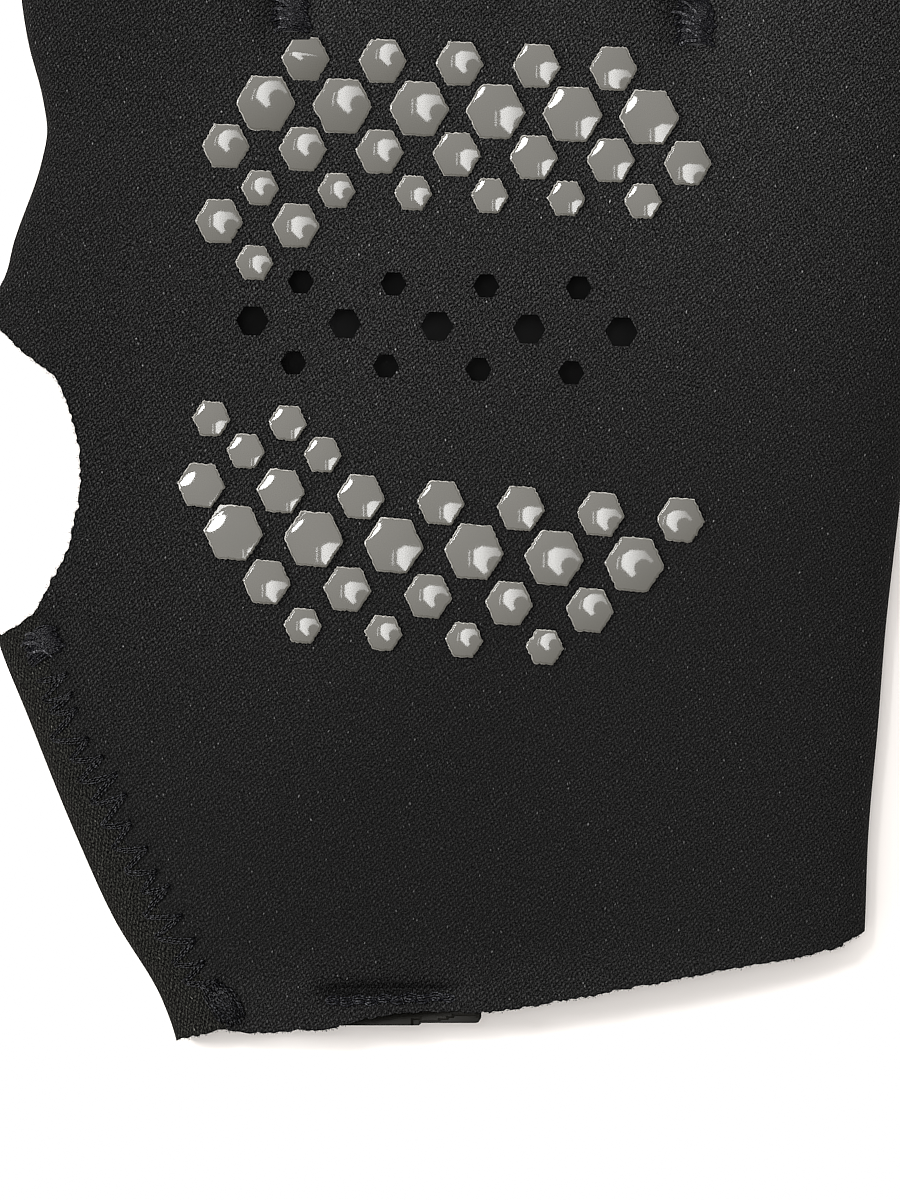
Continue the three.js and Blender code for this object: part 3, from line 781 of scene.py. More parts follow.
# Knit, with sizes in millimetres of cloth and angles in degrees. Its loops make two waves: the
# first runs across the rows of slanting loops, the second along them.
LOOP_WAVES = [dict(spacing=0.41, angle=-47), dict(spacing=0.395, angle=20)]
LOOP = dict(length=0.175, width=0.088, angle=57, astray=50, shift=0.3)
LOOP_TONE = dict(least=0.6, spread=0.8, middle=0.35, relief=1.5)
FIBRE = dict(length=0.2, width=0.095, relief=6.6)
GLINT = dict(strength=5.5, rarity=60.0, focus=3.0)
KNIT_DRIFTS = [dict(scale=0.5, reach=0.5), dict(scale=2.2, reach=0.22)]
KNIT_TONE = "#1b1b1b"
BACK_TONE = "#1d1d1b"
BACK_TURN = 38
SHOULDER = 0.35

# The jersey is tauter, so opener, towards the thumb and the fingers and at the cut. Its share
# also strengthens the painted sheen and shade of the loops and the painted light below, standing
# in for the stronger light there
TAUT_AND_LIT = dict(start=-42, end=20, slant=0.55, relief=0.95)
TAUT_AND_LIT_AT_CUT = dict(start=-56, end=-64, strength=0.4)

# Painted light: the cloth's colour is paler where it is taut, away from the thumb's side, and on
# its little-finger side, standing in for the light falling more brightly there
TAUT_PAINTED_LIGHT = dict(start=-46, end=-8, strength=0.65)
SIDE_PAINTED_LIGHT = dict(start=0, end=45, strength=0.25)


# Share of tautness, which also stands in for stronger light: it strengthens the painted loop contrast
# and the painted light
def tautness_and_light(tree, cloth):
    at = split(tree, cloth)
    slanted = math_node(tree, "MULTIPLY_ADD", at[0], -TAUT_AND_LIT["slant"], at[1])
    taut_and_lit = smooth_range(tree, slanted, TAUT_AND_LIT["start"], TAUT_AND_LIT["end"])
    at_cut = smooth_range(tree, at[1], TAUT_AND_LIT_AT_CUT["start"], TAUT_AND_LIT_AT_CUT["end"])
    return math_node(tree, "MULTIPLY_ADD", at_cut, TAUT_AND_LIT_AT_CUT["strength"], taut_and_lit)


# Painted light: a slow brightness gradient multiplied into the cloth's colour
def painted_light(tree, cloth, taut_and_lit):
    across = split(tree, cloth)[0]
    inwards = smooth_range(tree, across, TAUT_PAINTED_LIGHT["start"], TAUT_PAINTED_LIGHT["end"])
    aside = smooth_range(tree, across, SIDE_PAINTED_LIGHT["start"], SIDE_PAINTED_LIGHT["end"])
    taut_and_lit_inwards = math_node(tree, "MULTIPLY", taut_and_lit, inwards)
    at_side = math_node(tree, "MULTIPLY_ADD", aside, SIDE_PAINTED_LIGHT["strength"], 1.0)
    return math_node(tree, "MULTIPLY_ADD", taut_and_lit_inwards, TAUT_PAINTED_LIGHT["strength"], at_side)


def drifted(tree, cloth):
    """Cloth coordinates bent a little, because rows of knit never lie quite straight."""
    bent = cloth
    for drift in KNIT_DRIFTS:
        noise = add(tree, "ShaderNodeTexNoise", {
            "Vector": cloth, "Scale": drift["scale"], "Detail": 1.0}).outputs["Color"]
        offset = vector_node(tree, "SUBTRACT", noise, (0.5, 0.5, 0.5))
        bent = vector_node(tree, "MULTIPLY_ADD", offset, (drift["reach"], drift["reach"], 0), bent)
    return bent


def loop_ridges(tree, bent, turn):
    """Each loop as a short slanting ridge in its own cell, and two chances drawn for the loop."""
    ways, alongs = [], []
    for wave in LOOP_WAVES:
        angle = math.radians(wave["angle"] + turn)
        ways.append((math.cos(angle) / wave["spacing"], math.sin(angle) / wave["spacing"]))
        alongs.append(vector_node(tree, "DOT_PRODUCT", bent, (*ways[-1], 0)))
    cell = combined(tree, *[math_node(tree, "FLOOR", along) for along in alongs])
    chance = add(tree, "ShaderNodeTexWhiteNoise", {"Vector": cell}, noise_dimensions="3D").outputs
    chances = add(tree, "ShaderNodeSeparateColor", {0: chance["Color"]}).outputs

    # A loop lies a little astray in its cell, and a little turned
    parts = []
    for along, drawn, step in zip(alongs, (chances[1], chances[2]), np.linalg.inv(ways).T):
        share = math_node(tree, "FRACT", along)
        shift = math_node(tree, "MULTIPLY_ADD", drawn, LOOP["shift"], -0.5 - LOOP["shift"] / 2)
        parts.append(scaled(tree, (*step, 0), math_node(tree, "ADD", share, shift)))
    lean = math_node(tree, "MULTIPLY_ADD", chances[0], math.radians(LOOP["astray"]),
                     math.radians(LOOP["angle"] + turn - LOOP["astray"] / 2))
    turned = rotated(tree, vector_node(tree, "ADD", *parts), math_node(tree, "MULTIPLY", lean, -1.0))
    shape = vector_node(tree, "MULTIPLY", turned, (1 / LOOP["length"], 1 / LOOP["width"], 0))
    fall = vector_node(tree, "DOT_PRODUCT", shape, shape)
    ridge = math_node(tree, "EXPONENT", math_node(tree, "MULTIPLY", fall, -1.0))
    return ridge, chances[2], chance["Value"]


def fibre_streaks(tree, bent, turn):
    """Unevenness of tone from the fibres that run along the loops."""
    laid = rotated(tree, bent, -math.radians(LOOP["angle"] + turn))
    laid = vector_node(tree, "MULTIPLY", laid, (1 / FIBRE["length"], 1 / FIBRE["width"], 0))
    glint_streak = add(tree, "ShaderNodeTexNoise", {"Vector": laid, "Scale": 1.0, "Detail": 1.0}).outputs[0]
    return math_node(tree, "MULTIPLY", math_node(tree, "SUBTRACT", glint_streak, 0.5), FIBRE["relief"])


def knit_jersey(name, turn, tone, always_taut_and_lit=False):
    """Nylon jersey laminated on neoprene: matt black, with the sheen and shade of its slanting loops
    painted into its colour loop by loop.
    """
    material, tree = new_material(name)
    cloth = add(tree, "ShaderNodeUVMap", uv_map="cloth").outputs[0]
    bent = drifted(tree, cloth)
    ridge, drawn_tone, luck = loop_ridges(tree, bent, turn)
    taut_and_lit = 1.0 if always_taut_and_lit else tautness_and_light(tree, cloth)
    pale = 1.0 if always_taut_and_lit else painted_light(tree, cloth, taut_and_lit)

    # Every loop has its own brightness, broken up by its fibres. Its crest is painted lighter and its
    # edges darker, as the sheen and shade of its relief, stronger where it is taut and better lit
    own = math_node(tree, "MULTIPLY_ADD", drawn_tone, LOOP_TONE["spread"], LOOP_TONE["least"])
    tall = math_node(tree, "SUBTRACT", math_node(tree, "MULTIPLY", ridge, own), LOOP_TONE["middle"])
    fibres = fibre_streaks(tree, bent, turn)
    relief = math_node(tree, "MULTIPLY_ADD", tall, LOOP_TONE["relief"], fibres)
    strength = math_node(tree, "MULTIPLY_ADD", taut_and_lit, TAUT_AND_LIT["relief"], 1.0)
    lit = math_node(tree, "EXPONENT", math_node(tree, "MULTIPLY", relief, strength))
    held = math_node(tree, "DIVIDE", lit, math_node(tree, "MULTIPLY_ADD", lit, SHOULDER, 1.0))

    # A rare loop gets a painted glint, its colour brightened at its crest
    rare = math_node(tree, "POWER", luck, GLINT["rarity"])
    shine = math_node(tree, "MULTIPLY", rare, GLINT["strength"])
    crest = math_node(tree, "POWER", ridge, GLINT["focus"])
    glint = math_node(tree, "MULTIPLY_ADD", shine, crest, 1.0)
    # Painted light and painted glints multiply the cloth's colour
    bright = math_node(tree, "MULTIPLY", pale, glint)
    principled(tree, {
        "Base Color": scaled(tree, linear(tone)[:3], math_node(tree, "MULTIPLY", held, bright)),
        "Roughness": 0.6,
        "Specular IOR Level": 0.02,
        "Sheen Weight": 0.002,
        "Sheen Roughness": 0.4,
        "Normal": bumped(tree, ridge, strength=0.35, depth=0.08),
    })
    return material


def foam_core():
    """Cut neoprene: dull black closed-cell foam with fine pores."""
    material, tree = new_material("neoprene_foam")
    pores = grain(tree, size=0.35, detail=3.0)
    principled(tree, {
        "Base Color": blend(tree, pores, "#080808", "#141414"),
        "Roughness": 0.85,
        "Specular IOR Level": 0.1,
        "Normal": bumped(tree, pores, strength=0.4, depth=0.08),
    })
    return material


def lining():
    """Inside of the glove: plain black nylon, dull and even."""
    material, tree = new_material("nylon_lining")
    principled(tree, {"Base Color": linear("#373737"), "Roughness": 0.9, "Specular IOR Level": 0.05})
    return material


SILICONE_ROUGHNESS = dict(smooth=0.05, worn_and_lit=0.4)


def printed_silicone():
    """Grey silicone, cast in domed drops: glossy skin, with a painted highlight along its ragged rim,
    paler on the side that faces the lamps.
    """
    material, tree = new_material("printed_silicone")
    haze = grain(tree, size=9, detail=2.0)
    skin = blend(tree, haze, "#4c4b46", "#56544f")
    rim = add(tree, "ShaderNodeAttribute", attribute_name="rim").outputs["Fac"]
    principled(tree, {
        # The rim is painted pale, as a highlight on its rounded edge
        "Base Color": blend(tree, rim, skin, "#b4b2ad"),
        "Roughness": math_node(tree, "MULTIPLY_ADD", rim, SILICONE_ROUGHNESS["worn_and_lit"],
                               SILICONE_ROUGHNESS["smooth"]),
        "IOR": 1.43,
    })
    return material


GLINT_STREAKS = dict(start=0.5, end=0.78)


def sewing_thread(name, dark, pale):
    """Bonded polyester thread: near black, with painted glints as paler streaks, and a soft shine along
    its plies.
    """
    material, tree = new_material(name)
    tone = grain(tree, size=0.25, detail=2.0)
    # Painted glints: paler streaks in the thread's colour
    glint_streak = smooth_range(tree, tone, GLINT_STREAKS["start"], GLINT_STREAKS["end"])
    principled(tree, {
        "Base Color": blend(tree, glint_streak, dark, pale),
        "Roughness": 0.3,
        "Specular IOR Level": 0.15,
        "Normal": bumped(tree, tone, strength=0.2, depth=0.02),
    })
    return material


def moulded_rubber():
    """Thin moulded rubber strip: smooth brown-black with a dull shine."""
    material, tree = new_material("moulded_rubber")
    tone = grain(tree, size=2, detail=3.0)
    principled(tree, {
        "Base Color": blend(tree, tone, "#100f0c", "#1a1915"),
        "Roughness": 0.45,
        "Specular IOR Level": 0.15,
    })
    return material


def table_paint():
    """White table top: matt and even."""
    material, tree = new_material("white_table")
    principled(tree, {"Base Color": (0.9, 0.865, 0.84, 1), "Roughness": 0.9, "Specular IOR Level": 0.1})
    return material


# Grips
DOME_SLOPE = 0.10
GRIP_RISE = 0.5
EDGE_ROUND = 0.24
EDGE_FALL = 0.16
EDGE_JAG = 0.04
CORNER_BLUNT = 0.15
SEAT_CLEAR = 0.06
SEAT_SINK = 0.1
SIDE_STEPS = 13
RINGS = [0.0, 0.16, 0.32, 0.46, 0.58, 0.69, 0.78, 0.86, 0.92, 0.96, 0.985, 1.0]
ROUND_TURNS = [15, 30, 45, 60, 75]
ROUND_RIM = [0.0, 0.3, 0.8, 1.0, 1.0]
RIM_SCATTER = 1.5
LIT_SIDE = (-0.6, 0.8)
BEVEL = dict(start=0.6, softness=0.06, slope=0.45)
CREASE = dict(grip="grip_upper_1_1", y=0.2, lean=-0.1, bow=0.12, half_width=0.08, slope=1.2, lift=0.25)
NOTCH_GAP = 0.15
SEEDS_A_ROW = 100


def hexagon_ring():
    """Unit hexagon outline with SIDE_STEPS points a side, its corners a little blunt."""
    corners = [(math.cos(math.radians(60 * i)), math.sin(math.radians(60 * i))) for i in range(7)]
    ring = []
    for (ax, ay), (bx, by) in zip(corners, corners[1:]):
        for t in np.arange(SIDE_STEPS) / SIDE_STEPS:
            ring.append((ax + (bx - ax) * t, ay + (by - ay) * t))
    ring = np.array(ring)
    beside = np.roll(ring, 1, 0) + np.roll(ring, -1, 0)
    return CORNER_BLUNT * beside + (1 - 2 * CORNER_BLUNT) * ring


def past_line(distance, softness):
    """How far past a line, starting softly at it."""
    return np.logaddexp(0, distance / softness) * softness


def dome_height(p, half, level, crease):
    """Height of a grip's skin above its seat at places p, in shares of its half width."""
    lean = level[0] * p[:, 0] + level[1] * p[:, 1]
    bevel = past_line(p @ (-math.sqrt(0.5), math.sqrt(0.5)) - BEVEL["start"], BEVEL["softness"])
    fall = (p ** 2).sum(1) / 2 - lean + BEVEL["slope"] * bevel
    height = GRIP_RISE - DOME_SLOPE * half * fall
    if crease:
        line = crease["y"] + crease["lean"] * p[:, 0] + crease["bow"] * p[:, 0] ** 2
        bend = past_line(p[:, 1] - line, crease["half_width"])
        height += crease["lift"] - DOME_SLOPE * half * crease["slope"] * bend
    return height


def ring_faces(layers, count):
    """Faces of a solid whose first point is its top and whose rings run down to its flat base."""
    faces = [(0, 1 + i, 1 + (i + 1) % count) for i in range(count)]
    for a in range(1, 1 + (layers - 1) * count, count):
        b = a + count
        faces += [(a + i, b + i, b + (i + 1) % count, a + (i + 1) % count) for i in range(count)]
    last = 1 + (layers - 1) * count
    faces.append(tuple(last + i for i in range(count))[::-1])
    return faces


def grip_mesh(size, x, y, turn, level, seed, crease=None, notch=None):
    """Points, faces and rim shares of one domed grip, seated on the palm."""
    half = GRIP_WIDTHS[size] / 2
    rng = np.random.default_rng(seed)
    ring = hexagon_ring()
    count = len(ring)
    jag = rng.normal(0, EDGE_JAG, count)
    way = ring / np.linalg.norm(ring, axis=1, keepdims=True)
    inner = ring * half + way * jag[:, None] - way * EDGE_ROUND
    layers = [(inner * share, 0.0) for share in RINGS]
    for turned in np.radians(ROUND_TURNS):
        out = math.sin(turned) / math.sin(math.radians(ROUND_TURNS[-1]))
        layers.append((inner + way * EDGE_ROUND * out, EDGE_FALL * (1 - math.cos(turned))))
    angle = math.radians(turn)
    rotate = np.array([[math.cos(angle), math.sin(angle)], [-math.sin(angle), math.cos(angle)]])
    centre = palm_top(np.array([x]), np.array([y]))[0]
    points = []
    for plan, fall in layers:
        plan = plan * (1, GRIP_STRETCH)
        height = centre + dome_height(plan / half, half, level, crease) - fall
        placed = plan @ rotate + (x, y)
        seat = palm_top(placed[:, 0], placed[:, 1])
        points.append(np.column_stack([placed, np.maximum(height, seat + SEAT_CLEAR)]))
    points.append(np.column_stack([placed, seat - SEAT_SINK]))
    if notch:
        for layer in points:
            layer[:, :2] = notch(layer[:, :2])
    faces = ring_faces(len(points) - 1, count)
    points = np.vstack([points[0][:1]] + points[1:])
    shares = np.array([0.0] * (len(RINGS) - 1) + ROUND_RIM + [1.0])
    # Painted highlight: the rim's share, which paints the rim pale and roughens it, is larger on the
    # side that faces the lamps and scattered at random along it
    worn_and_lit = 0.5 + 0.5 * (way @ LIT_SIDE)
    rim = np.outer(shares, worn_and_lit) * rng.uniform(0.0, RIM_SCATTER, (len(shares), count))
    return points, faces, np.append([0.0], rim)


def tack_notch(tack):
    """Moves the points of a grip that lie under a tack down to the tack's end."""
    def cut_back(plan):
        out = plan.copy()
        left = tack["x"] - tack["width"] / 2 - NOTCH_GAP
        right = tack["x"] + tack["width"] / 2 + NOTCH_GAP
        end = tack["y"] - tack["length"] / 2 - NOTCH_GAP
        under = (plan[:, 0] > left) & (plan[:, 0] < right) & (plan[:, 1] > end)
        out[under, 1] = end
        return out
    return cut_back


def grip_rows(material):
    for r, row in enumerate(GRIP_ROWS):
        points, faces, rims, nodes = [], [], [], []
        places = row_places(row, len(row["level"]))
        for i, ((x, y), level) in enumerate(zip(places, row["level"])):
            node = f"grip_{row['name']}_{i + 1}"
            marks = (CREASE, tack_notch(TACKS[0])) if node == CREASE["grip"] else ()
            seed = SEEDS_A_ROW * r + i
            p, f, rim = grip_mesh(row["size"], x, y, row["turn"], level, seed, *marks)
            rims += list(rim)
            faces += [tuple(k + len(points) for k in corner) for corner in f]
            points += list(p)
            nodes.append(node)
        piece = mesh_object(f"grips_{row['name']}", points, faces, [material])
        layer = piece.data.attributes.new("rim", "FLOAT", "POINT")
        layer.data.foreach_set("value", np.asarray(rims, np.float32))
        smooth_shaded(piece, SHARP_ANGLES["grip"])
        finish_piece(piece, nodes)


# Thread and loose fibres
PROBE_HEIGHT = 25
HOLE_CLOSING = 0.6
STRAND_STEP = 7.3
WANDER = dict(size=1.4, reach=1.6)
DIVE = 6.0
PLY_DEPTH = 0.16
HAIR = {"Resolution": 4, "Start": (0, 0, 0), "Middle": (0.5, 0.35, 0.1), "End": (0.9, -0.1, 0.3)}
HAIR_SIDES = 3
HAIR_TURNS = [(-0.6, -0.5, 0), (0.6, 0.3, 2 * math.pi)]
HAIR_SIZES = [0.25, 1.0]


def group_tree(name, sockets):
    """Geometry Nodes group with the given inputs and one geometry output."""
    tree = bpy.data.node_groups.new(name, "GeometryNodeTree")
    for title, kind, value in sockets:
        socket = tree.interface.new_socket(name=title, in_out="INPUT", socket_type="NodeSocket" + kind)
        if value is not None:
            socket.default_value = value
    tree.interface.new_socket(name="Mesh", in_out="OUTPUT", socket_type="NodeSocketGeometry")
    return tree, add(tree, "NodeGroupInput").outputs


def named(tree, name):
    return add(tree, "GeometryNodeInputNamedAttribute", {"Name": name}, data_type="FLOAT").outputs[0]


def moved(tree, geometry, offset):
    return add(tree, "GeometryNodeSetPosition", {"Geometry": geometry, "Offset": offset}).outputs[0]


def tubes(tree, curve, profile):
    return add(tree, "GeometryNodeCurveToMesh", {
        "Curve": curve, "Profile Curve": profile, "Fill Caps": True}).outputs[0]


def circle(tree, sides, width):
    return add(tree, "GeometryNodeCurvePrimitiveCircle", {
        "Resolution": sides, "Radius": math_node(tree, "MULTIPLY", width, 0.5)}).outputs[0]


def finished(tree, geometry, material):
    """Ends a tree: instances made real and the material set."""
    real = add(tree, "GeometryNodeRealizeInstances", {"Geometry": geometry}).outputs[0]
    painted = add(tree, "GeometryNodeSetMaterial", {"Geometry": real, "Material": material}).outputs[0]
    add(tree, "NodeGroupOutput", {0: painted})
    return tree


def strands_along(tree, given):
    """One finely divided copy of the path for each strand, and each strand's number."""
    curve = add(tree, "GeometryNodeMeshToCurve", {"Mesh": given["Path"]}).outputs[0]
    copies = add(tree, "GeometryNodeDuplicateElements", {
        "Geometry": curve, "Amount": given["Strands"]}, domain="SPLINE").outputs
    numbered = add(tree, "GeometryNodeStoreNamedAttribute", {
        "Geometry": copies[0], "Name": "strand", "Value": copies[1]},
        data_type="FLOAT", domain="CURVE").outputs[0]
    fine = add(tree, "GeometryNodeResampleCurve", {
        "Curve": numbered, "Length": given["Step"]}, mode="LENGTH").outputs[0]
    return fine, named(tree, "strand")


def surface_height(tree, given, at):
    """Height of the surface object at a place, probed from the thread's side of it."""
    far = math_node(tree, "MULTIPLY", given["Side"], PROBE_HEIGHT * MM)
    way = math_node(tree, "MULTIPLY", given["Side"], -1.0)
    surface = add(tree, "GeometryNodeObjectInfo", {0: given["Surface"]}).outputs["Geometry"]
    cast = add(tree, "GeometryNodeRaycast", {
        "Target Geometry": surface,
        "Source Position": combined(tree, at[0], at[1], far),
        "Ray Direction": combined(tree, 0.0, 0.0, way),
        "Ray Length": 2 * PROBE_HEIGHT * MM,
    }).outputs
    return split(tree, cast["Hit Position"])[2]


def thread_tree():
    """Twisted threads side by side along a path, laid on the surface of another object."""
    tree, given = group_tree("laid_thread", [
        ("Path", "Geometry", None),
        ("Surface", "Object", None),
        ("Side", "Float", 1.0),
        ("Thread", "Float", 0.25 * MM),
        ("Strands", "Int", 3),
        ("Spread", "Float", 0.2 * MM),
        ("Loft", "Float", 0.2 * MM),
        ("Sink", "Float", 0.4 * MM),
        ("Lay", "Float", 0.7 * MM),
        ("Step", "Float", 0.1 * MM),
        ("Sides", "Int", 9),
        ("Seed", "Float", 0.0),
        ("Material", "Material", None),
    ])
    fine, strand = strands_along(tree, given)

    # Threads lie side by side, wander a little and close up at the needle holes
    across = named(tree, "across")
    square = math_node(tree, "MULTIPLY", across, across)
    open_share = math_node(tree, "MULTIPLY_ADD", square, -HOLE_CLOSING, 1.0)
    middle = math_node(tree, "MULTIPLY", math_node(tree, "SUBTRACT", given["Strands"], 1.0), 0.5)
    place = math_node(tree, "MULTIPLY", math_node(tree, "SUBTRACT", strand, middle), given["Spread"])
    tangent = add(tree, "GeometryNodeInputTangent").outputs[0]
    sideways = vector_node(tree, "CROSS_PRODUCT", (0, 0, 1), tangent)
    beside = scaled(tree, sideways, math_node(tree, "MULTIPLY", place, open_share))
    position = add(tree, "GeometryNodeInputPosition").outputs[0]
    stray = add(tree, "ShaderNodeTexNoise", {
        "Vector": position, "W": math_node(tree, "MULTIPLY_ADD", strand, STRAND_STEP, given["Seed"]),
        "Scale": 1 / (WANDER["size"] * MM), "Detail": 1.0}, noise_dimensions="4D").outputs
    centred = vector_node(tree, "SUBTRACT", stray["Color"], (0.5, 0.5, 0.5))
    wander = scaled(tree, centred, math_node(tree, "MULTIPLY", given["Spread"], WANDER["reach"]))
    strewn = moved(tree, fine, vector_node(tree, "ADD", beside, wander))

    # Down onto the cloth, lofted in the middle of each stitch and sunk at the needle holes
    at = split(tree, position)
    arch = math_node(tree, "MULTIPLY", given["Loft"], math_node(tree, "SUBTRACT", 1.0, square))
    dive = math_node(tree, "MULTIPLY", given["Sink"], math_node(tree, "POWER", square, DIVE))
    uneven = math_node(tree, "SUBTRACT", stray[0], 0.5)
    jitter = math_node(tree, "MULTIPLY", uneven, given["Thread"])
    lift = math_node(tree, "ADD", math_node(tree, "SUBTRACT", arch, dive), jitter)
    height = math_node(tree, "MULTIPLY_ADD", lift, given["Side"], surface_height(tree, given, at))
    laid = add(tree, "GeometryNodeSetPosition", {
        "Geometry": strewn, "Position": combined(tree, at[0], at[1], height)}).outputs[0]

    # Two plies twisted together
    length = add(tree, "GeometryNodeSplineParameter").outputs["Length"]
    tilt = math_node(tree, "MULTIPLY", math_node(tree, "DIVIDE", length, given["Lay"]), 2 * math.pi)
    twisted = add(tree, "GeometryNodeSetCurveTilt", {"Curve": laid, "Tilt": tilt}).outputs[0]
    around = add(tree, "GeometryNodeSplineParameter").outputs["Factor"]
    lobes = math_node(tree, "COSINE", math_node(tree, "MULTIPLY", around, 4 * math.pi))
    bulge = scaled(tree, position, math_node(tree, "MULTIPLY", lobes, PLY_DEPTH))
    profile = moved(tree, circle(tree, given["Sides"], given["Thread"]), bulge)
    return finished(tree, tubes(tree, twisted, profile), given["Material"])


def random_between(tree, low, high, seed):
    """Random vector or number between two limits of the same kind."""
    kind, first, out = ("FLOAT_VECTOR", 0, 0) if isinstance(low, tuple) else ("FLOAT", 2, 1)
    return add(tree, "FunctionNodeRandomValue", {
        first: low, first + 1: high, "Seed": seed}, data_type=kind).outputs[out]


def fuzz_tree():
    """Short loose fibres standing out every way along a path."""
    tree, given = group_tree("edge_fuzz", [
        ("Path", "Geometry", None),
        ("Gap", "Float", 0.15 * MM),
        ("Length", "Float", 0.6 * MM),
        ("Fibre", "Float", 0.05 * MM),
        ("Scatter", "Float", 0.2 * MM),
        ("Seed", "Int", 0),
        ("Material", "Material", None),
    ])
    curve = add(tree, "GeometryNodeMeshToCurve", {"Mesh": given["Path"]}).outputs[0]
    roots = add(tree, "GeometryNodeCurveToPoints", {
        "Curve": curve, "Length": given["Gap"]}, mode="LENGTH").outputs[0]
    spread = random_between(tree, (-1, -1, -1), (1, 1, 1), given["Seed"])
    strewn = moved(tree, roots, scaled(tree, spread, given["Scatter"]))
    size = random_between(tree, *HAIR_SIZES, given["Seed"])
    hairs = add(tree, "GeometryNodeInstanceOnPoints", {
        "Points": strewn,
        "Instance": add(tree, "GeometryNodeCurveQuadraticBezier", HAIR).outputs[0],
        "Rotation": random_between(tree, *HAIR_TURNS, given["Seed"]),
        "Scale": math_node(tree, "MULTIPLY", size, given["Length"]),
    }).outputs[0]
    real = add(tree, "GeometryNodeRealizeInstances", {"Geometry": hairs}).outputs[0]
    hair = tubes(tree, real, circle(tree, HAIR_SIDES, given["Fibre"]))
    return finished(tree, hair, given["Material"])


NOT_LENGTHS = ("Side", "Seed", "Strands", "Sides")


def grown(name, path, tree, **values):
    """Mesh object that a tree grows from a path; lengths among the values are millimetres."""
    modifier = path.modifiers.new(tree.name, "NODES")
    modifier.node_group = tree
    for item in tree.interface.items_tree:
        if item.in_out == "INPUT" and item.name in values:
            value = values[item.name]
            is_length = isinstance(value, float) and item.name not in NOT_LENGTHS
            modifier[item.identifier] = value * MM if is_length else value
    made = evaluated(path, name)
    smooth_shaded(made, SHARP_ANGLES["thread"])
    return made


def path_object(points, across=None):
    """Open chain of edges through points in millimetres."""
    p = np.asarray(points, float)
    if p.shape[1] == 2:
        p = np.column_stack([p, np.zeros(len(p))])
    mesh = bpy.data.meshes.new("path")
    mesh.from_pydata(p * MM, [(i, i + 1) for i in range(len(p) - 1)], [])
    if across is not None:
        layer = mesh.attributes.new("across", "FLOAT", "POINT")
        layer.data.foreach_set("value", np.asarray(across, np.float32))
    return linked("path", mesh)


LEG_STEPS = 8


def stitch_path(holes, bows=(0.0, 0.0)):
    """Path of a thread from hole to hole, its even and odd legs bowed towards the fingers."""
    points, across = [], []
    for number, (a, b) in enumerate(zip(holes, holes[1:])):
        a, b = np.array(a), np.array(b)
        for t in np.arange(LEG_STEPS) / LEG_STEPS:
            u = 2 * t - 1
            points.append(a + (b - a) * t + np.array([0, bows[number % 2] * (1 - u * u)]))
            across.append(u)
    points.append(np.array(holes[-1]))
    across.append(1.0)
    return path_object(points, across)


def zigzag_holes(line, width, seed, astray):
    """Needle holes to and fro across a line, each a little astray."""
    rng = np.random.default_rng(seed)
    side = np.where(np.arange(len(line)) % 2, 0.5, -0.5)[:, None]
    return line + square_to(line) * side * width + rng.normal(0, 1, line.shape) * astray


def spaced(line, spacing):
    """Points exactly spaced along a line of points."""
    line = np.asarray(line, float)
    along = np.concatenate([[0], np.cumsum(np.hypot(*np.diff(line, axis=0).T))])
    at = np.arange(0, along[-1], spacing)
    return np.column_stack([np.interp(at, along, line[:, k]) for k in (0, 1)])


def joined(name, parts):
    """One mesh object from several, which are removed."""
    with bpy.context.temp_override(active_object=parts[0], selected_editable_objects=parts):
        bpy.ops.object.join()
    parts[0].name = name
    parts[0].data.name = name
    return parts[0]


def slab(name, rows, top, thickness, material):
    """Closed sheet of the given thickness under a grid of top points."""
    under = [(x, y, z - thickness) for x, y, z in top]
    faces = closed_faces(rows, len(top) // rows)
    made = mesh_object(name, under + top, faces.tolist(), [material])
    smooth_shaded(made)
    return made


# Threads are as wide as Thread and lie Spread apart. They stand Loft above the cloth in the middle
# of a stitch and go Sink under it at a hole, and Lay is the length of one full twist.
TACK_THREAD = dict(Thread=0.22, Strands=2, Spread=0.22, Loft=0.4, Sink=0.2, Lay=1.1, Step=0.12, Sides=7)
FAN_THREAD = dict(Thread=0.13, Strands=2, Spread=0.11, Loft=0.75, Sink=0.1, Lay=1.1, Step=0.1, Sides=5)
SEAM_THREAD = dict(Thread=0.2, Strands=3, Spread=0.23, Loft=0.2, Sink=0.5, Lay=1.1, Step=0.1, Sides=6)
END_THREAD = dict(Thread=0.2, Strands=3, Spread=0.28, Loft=0.4, Sink=0.55, Lay=1.1, Step=0.1, Sides=6)
ROW_THREAD = dict(Thread=0.2, Strands=4, Spread=0.26, Loft=0.2, Sink=0.35, Lay=0.9, Step=0.1, Sides=7)
UNDER_THREAD = dict(Thread=0.3, Strands=1, Spread=0.1, Loft=0.05, Sink=0.3, Lay=0.9, Step=0.25, Sides=6)

# Bar tacks. Places on one are shares of its half width and half length from its middle. The core
# is a low pad with domed sides, the imported thread closes over it to and fro, and a fan of paler
# loose strands lies on top, spread on the thumb's side and gathered past the middle. The fan's
# strands are painted pale, as glints on the tack's lit thumb side.
TACK_ROWS = 17
TACK_COLUMNS = 13
TACK_CORE = dict(width=0.9, length=0.84, beside=1.1, bridge=0.6, dome=0.3, sink=0.2, thickness=0.6)
PACKED = dict(start=0.86, end=-0.88, pitch=0.21, astray=(0.22, 0.07), gather=0.8, bows=(0.8, 0.5))
FAN = dict(start=0.7, end=-0.8, pitch=0.58, astray=(0.3, 0.1), reach=0.3, gather=0.55, bows=(0.7, 0.3))
FAN_SEED = 20.0
FAN_HOLE_SEED = 40


def tack_place(tack, u, v):
    angle = math.radians(tack["turn"])
    a, b = u * tack["width"] / 2, v * tack["length"] / 2
    return (tack["x"] + a * math.cos(angle) - b * math.sin(angle),
            tack["y"] + a * math.sin(angle) + b * math.cos(angle))


def palm_height(x, y, inset=0.0):
    return float(palm_top(np.array([x]), np.array([y]), inset)[0])


